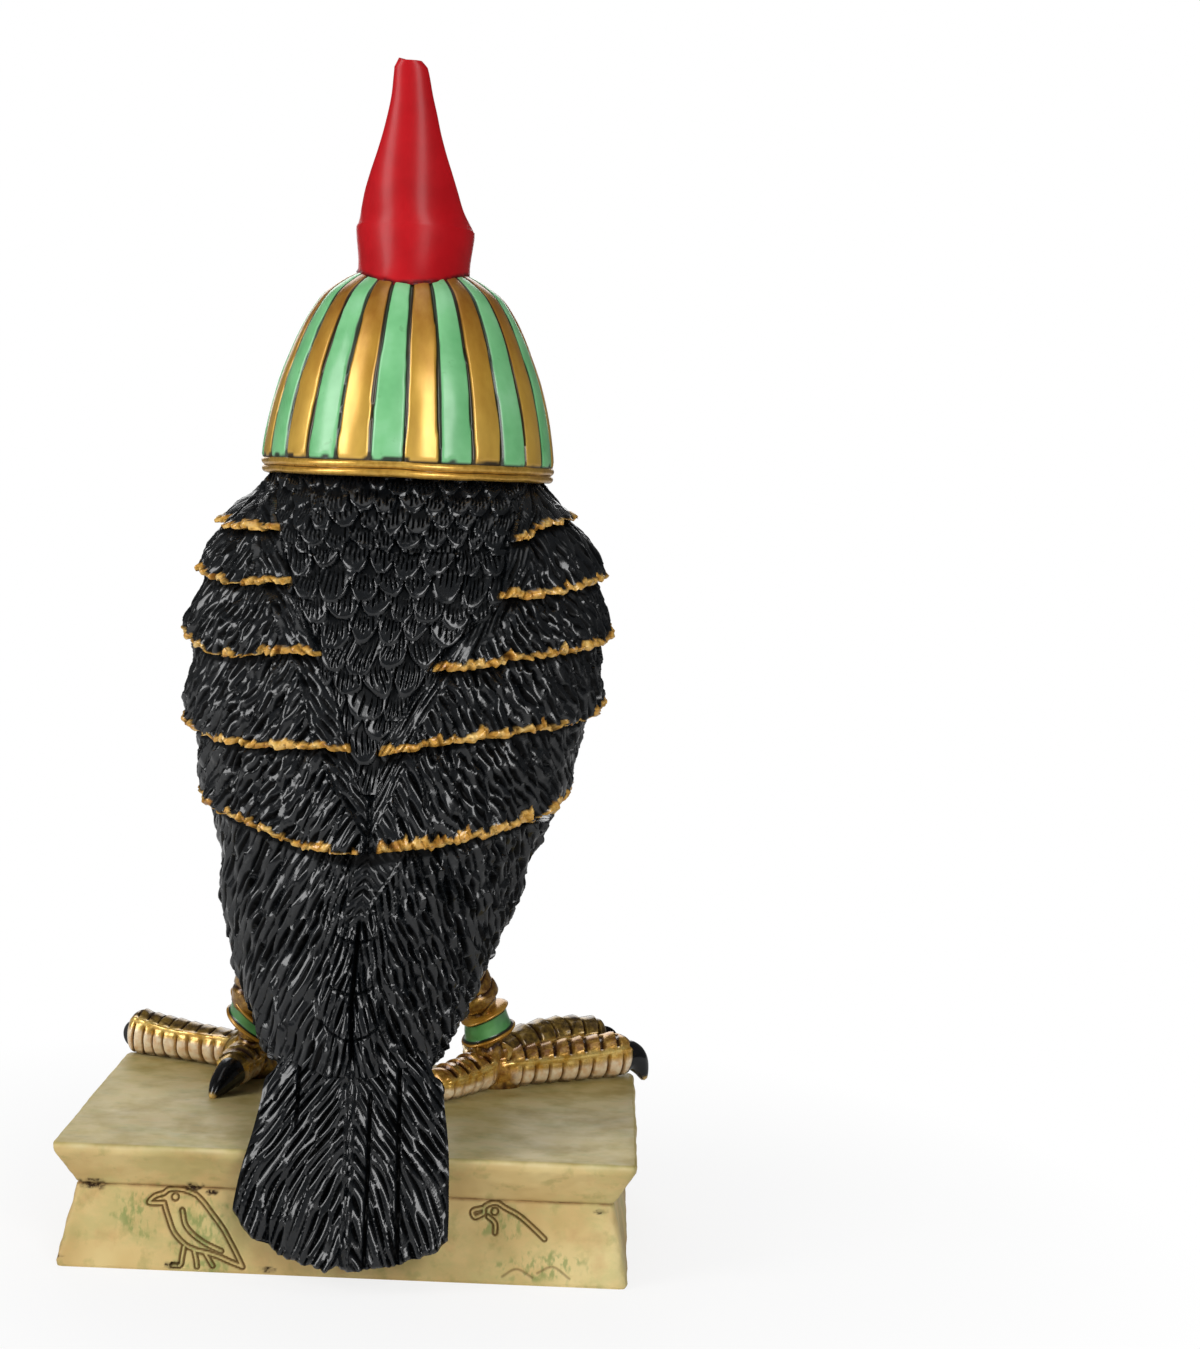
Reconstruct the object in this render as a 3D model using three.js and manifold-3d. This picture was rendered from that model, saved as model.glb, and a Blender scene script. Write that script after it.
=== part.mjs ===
// A cast and painted resin figure of a falcon in a striped cap and a red crown, on a cream plinth.
// Millimetres. +Z is up, the bird looks along -Y and stands with its tail over the plinth's rear edge.
// The origin is the centre of the plinth's underside.
import * as THREE from "three";
import { mergeVertices } from "three/addons/utils/BufferGeometryUtils.js";
import Module from "manifold-3d";

const wasm = await Module();
wasm.setup();

// Plinth
const plinthWidth = 90;
const plinthDepth = 60;
const plinthHeight = 19.6;
const slabThickness = 7.1;
const slabUndercut = 3.3;
const blockFlare = 2.6;
const plinthEdge = 0.9;

// Incised birds on the plinth's rear face
const strokeWidth = 0.8;
const strokeDepth = 0.6;
const signHeight = 11.2;
const signLeftPlace = 25.5;
const signRightPlace = -22.5;

// Bird, from the plinth's top to the tip of the crown. Its profiles are drawn at 171 mm.
const birdHeight = 171;
const drawnHeight = 171;
const grow = birdHeight / drawnHeight;

// Plumage
const featherLip = 1.8;
const smallFeatherLip = 0.8;
const featherPoint = 1.3;
const featherRib = 0.28;
const wingThickness = 1.5;
const bodyColumns = 52;

// Tail
const tailFloorGap = 4.1;
const tailThickness = 6;
const tailGroove = 0.6;
const tailColumns = 32;

// Cap, bands and crown
const stripeCount = 27;
const stripeGroove = 0.45;
const capBandHeight = 3.1;
const capBandProud = 0.9;
const crownRimRadius = 9.9;
const crownBaseRadius = 9.1;
const crownDish = 2.4;
const spireThickness = 4.6;

// Legs and feet
const ankleSpread = 20.3;
const tarsusRadius = 3.3;
const ankletRadius = 4.9;
const toeHeight = 6.4;
const toeWidth = 6.6;
const toeScuteGroove = 0.13;
const clawOverhang = 2.6;

// Face, beak and lappets
const eyeRadius = 3.1;
const beakLength = 9.5;
const lappetWidth = 9.5;
const lappetThickness = 1.7;
const lappetLength = 30;

const degree = Math.PI / 180;
// How far a piece runs into the one that it is cast with
const sunk = 0.6;

// The bird's axis stands this far in front of the plinth's rear edge, so that the tail meets that edge.
const axisSetback = 30 * grow;
const birdOrigin = new THREE.Vector3(0, plinthDepth / 2 - axisSetback, plinthHeight);

// A smooth curve through stations [height, value], heights falling or rising.
function profile(stations) {
  const sorted = [...stations].sort((a, b) => a[0] - b[0]);
  const last = sorted.length - 1;
  const slope = (i) => {
    const before = sorted[Math.max(i - 1, 0)];
    const after = sorted[Math.min(i + 1, last)];
    return (after[1] - before[1]) / (after[0] - before[0]);
  };
  return (height) => {
    const h = THREE.MathUtils.clamp(height, sorted[0][0], sorted[last][0]);
    let i = 0;
    while (i < last - 1 && sorted[i + 1][0] < h) i += 1;
    const span = sorted[i + 1][0] - sorted[i][0];
    const t = (h - sorted[i][0]) / span;
    const t2 = t * t;
    const t3 = t2 * t;
    return (2 * t3 - 3 * t2 + 1) * sorted[i][1] + (t3 - 2 * t2 + t) * span * slope(i)
      + (3 * t2 - 2 * t3) * sorted[i + 1][1] + (t3 - t2) * span * slope(i + 1);
  };
}

// A closed mesh with shared vertices becomes a solid.
function solid(geometry) {
  const bare = geometry.clone();
  bare.deleteAttribute("normal");
  bare.deleteAttribute("uv");
  const merged = mergeVertices(bare, 1e-4);
  return new wasm.Manifold(new wasm.Mesh({
    numProp: 3,
    vertProperties: new Float32Array(merged.attributes.position.array),
    triVerts: new Uint32Array(merged.index.array),
  }));
}

// A closed skin. Row 0 is the top. place(column, row) gives the point of each corner of the wall,
// and the two ends are closed by a point in the middle of the end row.
// Columns run from the rear towards +X and on round the front.
function skin(columns, rows, place) {
  const geometry = new THREE.CylinderGeometry(1, 1, 1, columns, rows);
  geometry.rotateX(Math.PI / 2);
  geometry.deleteAttribute("normal");
  geometry.deleteAttribute("uv");
  const merged = mergeVertices(geometry, 1e-4);
  const positions = merged.attributes.position;
  const middle = (row) => {
    const sum = new THREE.Vector3();
    for (let column = 0; column < columns; column += 1) sum.add(place(column, row));
    return sum.divideScalar(columns);
  };
  for (let i = 0; i < positions.count; i += 1) {
    const x = positions.getX(i);
    const y = positions.getY(i);
    const row = Math.round((0.5 - positions.getZ(i)) * rows);
    const column = Math.round(Math.atan2(x, y) / (2 * Math.PI) * columns + columns) % columns;
    const point = Math.hypot(x, y) < 0.5 ? middle(row) : place(column, row);
    positions.setXYZ(i, point.x, point.y, point.z);
  }
  return solid(merged);
}

const upwards = new THREE.Vector3(0, 0, 1);
const backwards = new THREE.Vector3(0, 1, 0);

// A round-sectioned limb along a path of Vector3 points. size(t) gives [side radius, upright radius].
// The section's upright side keeps to the given direction, which the path never runs along.
function limb(points, sides, rings, size, upright = upwards) {
  const path = new THREE.CatmullRomCurve3(points);
  return skin(sides, rings, (column, row) => {
    const t = row / rings;
    const centre = path.getPoint(t);
    const along = path.getTangent(t);
    const side = new THREE.Vector3().crossVectors(along, upright).normalize();
    const lift = new THREE.Vector3().crossVectors(side, along);
    const [wide, tall] = size(t);
    const turn = column / sides * 2 * Math.PI;
    return centre.addScaledVector(side, wide * Math.sin(turn)).addScaledVector(lift, tall * Math.cos(turn));
  });
}

// Body: half width, back and front at heights above the plinth's top
const bodyHalfWidth = profile([
  [111, 15], [106, 20.6], [99, 25.6], [88, 31.4], [77, 33.6], [66, 33], [52, 29.6], [41, 26.2], [30, 22.4], [20, 16.6], [11, 10.8],
]);
const bodyBack = profile([[111, 4], [106, 10], [99, 15], [88, 20], [77, 23], [66, 25], [52, 27], [41, 28.2], [30, 29.2], [11, 31.5]]);
const bodyFront = profile([
  [111, -22], [106, -26], [99, -27.5], [88, -29.5], [77, -29.5], [66, -27.5], [52, -22], [41, -15], [30, -5], [20, 7], [11, 18],
]);
const bodyLean = profile([[107, -2.8], [80, -2.8], [66, -1.8], [52, -0.8], [36, 0.2], [11, -0.6]]);
const bodyTop = 111;
const bodyBottom = 11;

// The wing's front edge, in turns measured from the middle of the back
const wingEdgeTurn = profile([[107, 146], [96, 140], [80, 128], [60, 114], [40, 98], [24, 80], [11, 66]]);
const wingEdgeColumn = 18;

// A point of the body's smooth surface, moved outwards
function bodyPoint(turn, height, out) {
  const back = bodyBack(height);
  const front = bodyFront(height);
  const centreY = (back + front) / 2;
  const halfDepth = (back - front) / 2;
  const direction = new THREE.Vector3(Math.sin(turn), Math.cos(turn), 0);
  const wide = bodyHalfWidth(height);
  return new THREE.Vector3(
    bodyLean(height) + direction.x * (wide + out),
    centreY + direction.y * (halfDepth + out),
    height,
  ).multiplyScalar(grow);
}

// Tiers of feathers: the lower edge at the middle of the back, how much it rises to the side,
// and whether the tier is one of the wings' long rows or a row of small feathers between them
const tiers = [
  { edge: 95.6, rise: 2.2, small: false },
  { edge: 85.6, rise: 2.8, small: false },
  { edge: 74.8, rise: 4.2, small: false },
  { edge: 67, rise: 4.8, small: true },
  { edge: 60, rise: 5.2, small: false },
  { edge: 45.4, rise: 4.8, small: false },
  { edge: 30, rise: 2.4, small: true },
];

// Half width of the mantle of small feathers between the wings, as a turn from the middle of the back
const mantleTurn = profile([[107, 62], [95, 46], [85, 33], [75, 18], [62, 2], [50, 0]]);

function body() {
  const rowKinds = [{ height: () => bodyTop, lip: 0 }, { height: () => 103, lip: 0 }];
  let above = () => 103;
  tiers.forEach((tier, index) => {
    const edge = (turn) => tier.edge + tier.rise * (1 - Math.cos(turn));
    const start = above;
    if (!tier.small) {
      rowKinds.push({ height: (turn) => (start(turn) + edge(turn)) / 2, lip: 0.5, index, small: false });
    }
    rowKinds.push({ height: edge, lip: 1, index, small: tier.small, point: true });
    rowKinds.push({ height: (turn) => edge(turn) + 0.25, lip: 0, index, small: tier.small, point: true });
    above = edge;
  });
  rowKinds.push({ height: () => (30 + bodyBottom) / 2, lip: 0 });
  rowKinds.push({ height: () => bodyBottom, lip: 0 });

  return skin(bodyColumns, rowKinds.length - 1, (column, row) => {
    const kind = rowKinds[row];
    const signed = column <= bodyColumns / 2 ? column : column - bodyColumns;
    const side = Math.sign(signed);
    const steps = Math.abs(signed);
    const half = bodyColumns / 2;
    const nominal = steps / half * Math.PI;
    const atNominal = kind.height(nominal);
    const edgeTurn = wingEdgeTurn(atNominal) * degree;
    const turn = steps <= wingEdgeColumn
      ? edgeTurn * steps / wingEdgeColumn
      : edgeTurn + (Math.PI - edgeTurn) * (steps - wingEdgeColumn) / (half - wingEdgeColumn);
    let height = kind.height(turn);
    const onWing = steps <= wingEdgeColumn && turn > mantleTurn(height) * degree;
    const onBreast = steps > wingEdgeColumn;
    const tip = (steps + (kind.index ?? 0)) % 2 === 0;
    const wingProud = steps > 0 && !onBreast && height < 104 ? wingThickness * Math.min(1, turn / 1.2) : 0;
    let lip = 0;
    if (kind.lip > 0) {
      const full = kind.small ? 0 : featherLip;
      lip = kind.lip * (onWing ? full : smallFeatherLip);
      lip += tip ? featherRib : -featherRib;
    }
    const ragged = kind.small && onWing ? 0 : featherPoint;
    if (kind.point) height -= tip ? ragged : 0;
    return bodyPoint(side * turn, height, lip + wingProud - wingThickness * (onBreast ? 0.4 : 0.8));
  });
}

// Tail: a thick fan that runs from the rump over the plinth's rear edge and stops above the floor.
const tailRoot = { height: 17, y: 26.5, half: 12.6 };
const tailTipHalf = 16.2;
const tailTipDepth = 36.2;
const tailLean = -1;

function tail() {
  const rows = 8;
  const rearColumns = tailColumns / 2;
  const tipDrop = (plinthHeight - tailFloorGap) / grow;
  return skin(tailColumns, rows, (column, row) => {
    const t = row / rows;
    // Even steps across the rear face, then even steps back across the hidden face
    const signed = column <= rearColumns ? column : column - tailColumns;
    const onRear = Math.abs(signed) <= rearColumns / 2;
    const share = onRear ? signed / (rearColumns / 2) : Math.sign(signed) * (rearColumns - Math.abs(signed)) / (rearColumns / 2);
    const half = THREE.MathUtils.lerp(tailRoot.half, tailTipHalf, Math.min(1, 1.6 * t) ** 0.8);
    const tipHeight = -tipDrop + 9.5 * Math.abs(share) ** 3.6;
    const height = THREE.MathUtils.lerp(tailRoot.height, tipHeight, t);
    const depthShare = (tailRoot.height - height) / (tailRoot.height + tipDrop);
    const centre = THREE.MathUtils.lerp(tailRoot.y, tailTipDepth, depthShare ** 0.85);
    const thick = THREE.MathUtils.lerp(tailThickness, tailThickness * 0.62, t) * (1 - 0.55 * share * share);
    const step = Math.round(Math.abs(share) * (rearColumns / 2));
    const groove = onRear && step % 3 === 0 && step < rearColumns / 2 ? tailGroove : 0;
    const across = onRear ? thick / 2 - groove : -thick / 2;
    const x = tailLean + half * share * (1 - 0.12 * Math.max(0, t - 0.8) * Math.abs(share));
    return new THREE.Vector3(x, centre + across, height).multiplyScalar(grow);
  });
}

// Cap: a dome of narrow stripes between engraved lines, over a double rolled band.
const capLean = -2.9;
const capY = -8.5;
const capBottom = 103.1;
const capTop = 137.6;
const capHalf = profile([[103, 23.6], [107, 23.9], [113, 23.1], [119.5, 21.5], [125, 19.4], [130, 16.5], [134, 12.9], [137.6, 8.6]]);
const capDepthShare = 0.97;

function capPoint(turn, height, out) {
  const radius = capHalf(height) + out;
  return new THREE.Vector3(
    capLean + radius * Math.sin(turn),
    capY + radius * capDepthShare * Math.cos(turn),
    height,
  ).multiplyScalar(grow);
}

function cap() {
  const stripe = 2 * Math.PI / stripeCount;
  const lineShare = 0.1;
  const corners = [-lineShare, 0, lineShare];
  const rows = 5;
  const bandTop = capBottom + capBandHeight;
  const heights = Array.from({ length: rows + 1 }, (_, row) => (
    THREE.MathUtils.lerp(capTop, bandTop - sunk, (row / rows) ** 1.25)
  ));
  return skin(stripeCount * corners.length, rows, (column, row) => {
    const turn = (Math.floor(column / corners.length) + corners[column % corners.length]) * stripe;
    const groove = column % corners.length === 1 ? stripeGroove : 0;
    return capPoint(turn, heights[row], -groove);
  });
}

// The two rolls of the band, one above the other, closed across the middle
function capBand() {
  const roll = capBandHeight / 4;
  const bulge = [[4, -2.4], [4, 0.2], [3, capBandProud], [2, 0.1], [1, capBandProud], [0, 0.2], [0, -2.4]];
  const columns = 28;
  return skin(columns, bulge.length - 1, (column, row) => {
    const [step, out] = bulge[row];
    return capPoint(column / columns * 2 * Math.PI, capBottom + step * roll, out);
  });
}

// Crown: a short flared drum with a dished top, and a tall spire that rises from its rear.
const crownLean = -3.1;
const crownY = -10.5;
const crownFoot = 134.5;
const crownRim = 145.2;
const spireHalf = profile([[140, 9.3], [145.2, 9.3], [148, 8.4], [151, 7.5], [155.5, 6.1], [160.5, 4.6], [165.5, 3.4], [169.5, 2.8], [171, 2.3]]);

function crown() {
  const drumProfile = [
    [0, crownFoot], [crownBaseRadius, crownFoot], [crownBaseRadius + 0.1, crownRim - 4],
    [crownRimRadius, crownRim - 0.6], [crownRimRadius - 0.8, crownRim],
    [crownRimRadius - 2.2, crownRim - crownDish], [0, crownRim - crownDish],
  ].map(([radius, height]) => new THREE.Vector2(radius * grow, height * grow));
  const drum = new THREE.LatheGeometry(drumProfile, 22);
  drum.rotateX(Math.PI / 2);
  drum.translate(crownLean * grow, crownY * grow, 0);
  const rows = 6;
  const columns = 14;
  const spireBottom = crownRim - 5;
  const spire = skin(columns, rows, (column, row) => {
    const t = 1 - row / rows;
    const height = THREE.MathUtils.lerp(spireBottom, 171, t ** 0.92);
    const turn = column / columns * 2 * Math.PI;
    const half = spireHalf(height);
    const thick = THREE.MathUtils.lerp(spireThickness, 2.2, t) / 2;
    // The spire follows the drum's round back, and leans back a little towards its tip.
    const across = half * Math.sin(turn);
    const bow = crownRimRadius - Math.sqrt(Math.max(0, crownRimRadius ** 2 - across ** 2)) * 0.99;
    const centre = crownY + crownRimRadius - spireThickness / 2 - bow * (1 - 0.5 * t) + 1.2 * t * t;
    return new THREE.Vector3(crownLean + across + 2 * t * t * t, centre + thick * Math.cos(turn), height).multiplyScalar(grow);
  });
  return solid(drum).add(spire);
}

// Head: a rounded falcon's head that shows in the cap's arched opening, with eyes and a hooked beak.
const faceY = -21;
const faceHeight = 116;
const faceHalf = 13.2;

function ellipsoid(centre, radii, around, upright) {
  const ball = new THREE.SphereGeometry(1, around, upright);
  ball.rotateX(Math.PI / 2);
  ball.scale(...radii.map((radius) => radius * grow));
  ball.translate(...centre.map((value) => value * grow));
  return solid(ball);
}

function faceOpening() {
  const arch = new THREE.Shape();
  arch.moveTo(-faceHalf * grow, (capBottom - 4) * grow);
  arch.lineTo(faceHalf * grow, (capBottom - 4) * grow);
  arch.lineTo(faceHalf * grow, faceHeight * grow);
  arch.absarc(0, faceHeight * grow, faceHalf * grow, 0, Math.PI, false);
  arch.closePath();
  const cutter = new THREE.ExtrudeGeometry(arch, { depth: 30 * grow, bevelEnabled: false, curveSegments: 10 });
  cutter.rotateX(Math.PI / 2);
  cutter.translate(capLean * grow, (capY - 13) * grow, 0);
  return solid(cutter);
}

// The gold brow band runs round the opening on the cap's surface.
function browBand() {
  const points = [];
  const steps = 20;
  for (let i = 0; i <= steps; i += 1) {
    const along = i / steps * (Math.PI + 1.3) - 0.65;
    const x = along < 0 || along > Math.PI ? Math.sign(Math.cos(along)) * faceHalf : Math.cos(along) * faceHalf;
    const drop = along < 0 ? -along : Math.max(0, along - Math.PI);
    const height = faceHeight + (drop > 0 ? -drop * faceHalf * 1.45 : Math.sin(along) * faceHalf);
    const radius = capHalf(height);
    const y = capY - capDepthShare * Math.sqrt(Math.max(0, radius ** 2 - x ** 2));
    points.push(new THREE.Vector3(capLean + x, y + 0.2, height).multiplyScalar(grow));
  }
  const section = new THREE.Shape();
  section.absarc(0, 0, 1.2 * grow, 0, 2 * Math.PI, false);
  return solid(new THREE.ExtrudeGeometry(section, {
    steps: 16, extrudePath: new THREE.CatmullRomCurve3(points), curveSegments: 3, bevelEnabled: false,
  }));
}

// A point on the face, from the middle of the head, moved out of the surface
const headRadii = [14.6, 15.6, 15.2];
function facePoint(x, up, out) {
  const rest = 1 - (x / headRadii[0]) ** 2 - (up / headRadii[2]) ** 2;
  const y = -headRadii[1] * Math.sqrt(Math.max(0, rest)) - out;
  return new THREE.Vector3(capLean + x, faceY + y, faceHeight + up).multiplyScalar(grow);
}

function head() {
  let shape = ellipsoid([capLean, faceY, faceHeight], headRadii, 14, 10);
  const taper = (thick) => (t) => Array(2).fill((0.4 + 0.6 * Math.sin(Math.PI * t)) * thick * grow);
  for (const side of [-1, 1]) {
    const eye = facePoint(side * 8.4, 3.2, -0.9);
    const eyeCentre = [eye.x / grow, eye.y / grow, eye.z / grow];
    shape = shape.add(ellipsoid(eyeCentre, [eyeRadius, 2.2, eyeRadius], 8, 5));
    // A raised brow over the eye and a cheek streak under it
    const brow = [facePoint(side * 3.6, 6.8, 0.2), facePoint(side * 8, 7.4, 0.2), facePoint(side * 12, 5, 0.2)];
    const cheek = [facePoint(side * 8.6, 0.6, 0.2), facePoint(side * 9.4, -3.6, 0.2), facePoint(side * 8.6, -8, 0.2)];
    shape = shape.add(limb(brow, 4, 3, taper(1))).add(limb(cheek, 4, 3, taper(1.3)));
  }
  const tip = headRadii[1] + 3.4;
  const beakPoints = [facePoint(0, 1.8, -3), facePoint(0, 1.2, 0.8), facePoint(0, -2.6, 3)]
    .concat(new THREE.Vector3(capLean, faceY - tip, faceHeight + 1.8 - beakLength).multiplyScalar(grow));
  const beakSize = (t) => [(4.2 * (1 - t) ** 0.7 + 0.25) * grow, (4.6 * (1 - t) ** 0.8 + 0.3) * grow];
  const beak = limb(beakPoints, 8, 5, beakSize, new THREE.Vector3(0, -1, 1).normalize());
  return shape.add(beak);
}

// Striped lappets of the cap, laid on the breast
function lappet(side) {
  const across = 3;
  const down = 12;
  const box = new THREE.BoxGeometry(1, 1, 1, across, down, 1);
  const bare = box.clone();
  bare.deleteAttribute("normal");
  bare.deleteAttribute("uv");
  const merged = mergeVertices(bare, 1e-4);
  const positions = merged.attributes.position;
  for (let i = 0; i < positions.count; i += 1) {
    const u = positions.getX(i);
    const v = 0.5 - positions.getY(i);
    const outer = positions.getZ(i) > 0;
    const height = capBottom + 1 - v * lappetLength;
    const shift = side * (11.5 + 1.5 * v) + u * lappetWidth * (1 - 0.12 * v);
    const wide = bodyHalfWidth(height);
    const turn = Math.PI - Math.asin(THREE.MathUtils.clamp(shift / wide, -0.98, 0.98));
    const bar = Math.round(v * down) % 2 === 0 ? 0 : 0.35;
    const edge = Math.abs(u) > 0.45 ? 0.4 : 0;
    const point = bodyPoint(turn, height, outer ? lappetThickness - bar - edge : -2.5);
    positions.setXYZ(i, point.x, point.y, point.z);
  }
  return solid(merged);
}

// Legs: a feathered thigh, a bare shank, and a ring round the ankle.
function leg(side) {
  const at = (x, y, h) => new THREE.Vector3(side * x, y, h).multiplyScalar(grow);
  const hip = at(14.5, -3, 42);
  const knee = at(ankleSpread - 2.4, -10, 24);
  const hock = at(ankleSpread - 1.6, -11.6, 19);
  const ankle = at(ankleSpread, -15.5, 8);
  const thighSize = (t) => {
    const radius = (8.8 - 2.4 * t) * Math.sqrt(1 - 0.8 * t ** 4);
    return [radius * grow, (radius + 0.8) * grow];
  };
  const shankSize = () => [tarsusRadius * grow, tarsusRadius * grow];
  const thigh = limb([hip, at(16.6, -7, 33), knee, hock], 10, 6, thighSize, backwards);
  const shank = limb([knee, hock, ankle, at(ankleSpread, -16.5, 1)], 8, 3, shankSize, backwards);
  const rings = [
    [0, tarsusRadius - sunk], [0.03, ankletRadius - 0.4], [0.14, ankletRadius], [0.25, ankletRadius - 0.8],
    [0.75, ankletRadius - 0.8], [0.86, ankletRadius], [0.97, ankletRadius - 0.4], [1, tarsusRadius - sunk],
  ];
  const columns = 12;
  const ringTop = at(ankleSpread - 0.6, -13.4, 14.6);
  const ringBottom = at(ankleSpread + 0.2, -15.8, 8.2);
  const anklet = skin(columns, rings.length - 1, (column, row) => {
    const [t, radius] = rings[row];
    const turn = column / columns * 2 * Math.PI;
    const centre = ringTop.clone().lerp(ringBottom, t);
    const slant = -0.22 * side;
    const dx = radius * Math.sin(turn) * grow;
    return centre.add(new THREE.Vector3(dx, radius * Math.cos(turn) * grow, slant * dx));
  });
  return thigh.add(shank).add(anklet);
}

// Toes: each runs from the foot to a target point on the plinth, with a claw hooked down at its tip.
// The targets are measured from the middle of the plinth's top, and the outer ones reach its sides.
function toe({ from, to, claw, scutes, height, width }) {
  const rings = scutes * 2;
  const start = new THREE.Vector3(from[0], from[1], height * 0.42);
  const end = new THREE.Vector3(to[0], to[1], height * 0.5);
  const middle = start.clone().lerp(end, 0.5).add(new THREE.Vector3(0, 0, height * 0.04));
  const flesh = limb([start, middle, end], 6, rings, (t) => {
    const scute = Math.round(t * rings) % 2 === 0 ? 1 - toeScuteGroove : 1;
    const pad = 1 + 0.16 * t * t;
    const close = t > 0.99 ? 0.72 : 1;
    return [width / 2 * scute * close, height / 2 * scute * pad * close];
  });
  const reach = end.clone().sub(start).setZ(0).normalize();
  const at = (along, up) => end.clone().addScaledVector(reach, along).add(new THREE.Vector3(0, 0, up));
  const hookPoints = [at(-1.6, height * 0.08), at(claw * 0.55, height * 0.14), at(claw, -height * 0.2), at(claw, -height * 0.6)];
  const hookSize = (t) => [width * (0.36 * (1 - t) ** 0.7 + 0.05), height * (0.36 * (1 - t) ** 0.6 + 0.05)];
  const hook = limb(hookPoints, 5, 3, hookSize, reach.clone().add(upwards).normalize());
  return flesh.add(hook);
}

function foot(side) {
  const heel = [side * ankleSpread * grow, -16.5 * grow];
  const pad = ellipsoid([side * ankleSpread, -16.8, 2.4], [6.4, 6.2, 4.8], 10, 5);
  const sideTip = side * (plinthWidth / 2 - 1.2);
  const big = { scutes: 8, height: toeHeight * grow, width: toeWidth * grow, claw: clawOverhang };
  const small = { scutes: 3, height: toeHeight * 0.84 * grow, width: toeWidth * 0.86 * grow, claw: 3.4 * grow };
  const hind = { scutes: 3, height: toeHeight * 0.95 * grow, width: toeWidth * 0.95 * grow, claw: 6.2 * grow };
  const place = (x, y) => [x * grow, y * grow];
  const toes = side > 0
    ? [
      { ...big, from: heel, to: [sideTip, -25.6 * grow] },
      { ...hind, from: heel, to: place(24.6, -7.5) },
      { ...small, from: heel, to: place(23.5, -29.5) },
      { ...small, from: heel, to: place(9.5, -28.5) },
    ]
    : [
      { ...big, from: heel, to: [sideTip, -24 * grow] },
      { ...small, scutes: 6, from: heel, to: place(-36.5, -29) },
      { ...hind, from: heel, to: place(-13.5, -7.5), scutes: 4 },
      { ...small, from: heel, to: place(-17.5, -30) },
    ];
  return toes.reduce((shape, one) => shape.add(toe(one)), pad);
}

// Plinth: a slab whose faces run in towards a line, over a block whose faces run out to the floor.
function plinth() {
  const outline = (inset) => {
    const corner = plinthEdge * 1.5;
    const x = plinthWidth / 2 - inset;
    const y = plinthDepth / 2 - inset;
    return [[x - corner, y], [x, y - corner], [x, -y + corner], [x - corner, -y],
      [-x + corner, -y], [-x, -y + corner], [-x, y - corner], [-x + corner, y]];
  };
  const line = plinthHeight - slabThickness;
  const levels = [
    [plinthHeight, plinthEdge], [plinthHeight - plinthEdge * 0.35, plinthEdge * 0.35], [plinthHeight - plinthEdge, 0],
    [plinthHeight - plinthEdge * 2, plinthEdge * 0.25], [line, slabUndercut], [plinthEdge, slabUndercut - blockFlare],
    [0, slabUndercut - blockFlare + plinthEdge * 0.3],
  ];
  return skin(8, levels.length - 1, (column, row) => {
    const [height, inset] = levels[row];
    // outline() starts beside the rear corner on the +X side, and columns start at the rear.
    const [x, y] = outline(inset)[column];
    return new THREE.Vector3(x, y, height);
  });
}

// A stroke cut into the block's rear face: a V-shaped channel along a line drawn in shares of the sign's height.
function stroke(line, place, mirrored) {
  const foot = 0.9;
  const slope = blockFlare / (plinthHeight - slabThickness - plinthEdge);
  const points = line.map(([x, z]) => {
    const height = foot + z * signHeight;
    const face = plinthDepth / 2 - (slabUndercut - blockFlare) - slope * (height - plinthEdge);
    return new THREE.Vector3(place + (mirrored ? -x : x) * signHeight, face, height);
  });
  const path = new THREE.CatmullRomCurve3(points);
  const rings = line.length;
  return skin(4, rings, (column, row) => {
    const t = row / rings;
    const along = path.getTangent(t);
    const side = new THREE.Vector3(-along.z, 0, along.x).normalize();
    const wide = strokeWidth / 2;
    const offsets = [[0, 0.6], [wide, 0.05], [0, -strokeDepth], [-wide, 0.05]];
    const [across, out] = offsets[column];
    return path.getPoint(t).addScaledVector(side, across).add(new THREE.Vector3(0, out, 0));
  });
}

// The sign is a standing bird that faces the figure's own left. x grows towards its beak.
const headRound = [[0.56, 0.74], [0.6, 0.88], [0.47, 0.99], [0.3, 0.95], [0.2, 0.82]];
const backLine = [[0.2, 0.82], [-0.05, 0.6], [-0.25, 0.32], [-0.42, 0.08]];
const sign = [
  headRound,
  backLine,
  [[0.6, 0.8], [0.66, 0.7], [0.56, 0.72]],
  [[0.5, 0.72], [0.38, 0.58], [0.36, 0.44], [0.22, 0.24]],
  [[0.34, 0.58], [0.24, 0.42], [0.08, 0.28], [-0.14, 0.2], [-0.42, 0.08]],
  [[0.24, 0.26], [0.22, 0.12], [0.12, 0]],
  [[0.06, 0.2], [0.04, 0.1], [-0.02, 0]],
  [[-0.1, 0.18], [-0.14, 0.02]],
];

function finishedPlinth() {
  let shape = plinth();
  for (const line of sign) shape = shape.subtract(stroke(line, signLeftPlace, false));
  // The second sign is only partly cut: its head, its back and three short strokes by the floor.
  const shortStrokes = [[[-0.2, 0.02], [-0.32, 0.12]], [[-0.55, 0.02], [-0.68, 0.13], [-0.86, 0.05]]];
  for (const line of [headRound, backLine, ...shortStrokes]) {
    shape = shape.subtract(stroke(line, signRightPlace, false));
  }
  return shape;
}

// The bird is built about its own origin, on the plinth's top.
function bird() {
  let headwear = cap().add(capBand());
  headwear = headwear.subtract(faceOpening()).add(browBand());
  let shape = body().add(tail()).add(headwear).add(head()).add(crown());
  for (const side of [-1, 1]) {
    shape = shape.add(lappet(side)).add(leg(side)).add(foot(side));
  }
  return shape.translate(birdOrigin.x, birdOrigin.y, birdOrigin.z - sunk);
}

const cast = bird().add(finishedPlinth());
const castMesh = cast.getMesh();
const geometry = new THREE.BufferGeometry();
geometry.setAttribute("position", new THREE.BufferAttribute(new Float32Array(castMesh.vertProperties), 3));
geometry.setIndex(new THREE.BufferAttribute(new Uint32Array(castMesh.triVerts), 1));
geometry.computeVertexNormals();

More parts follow.
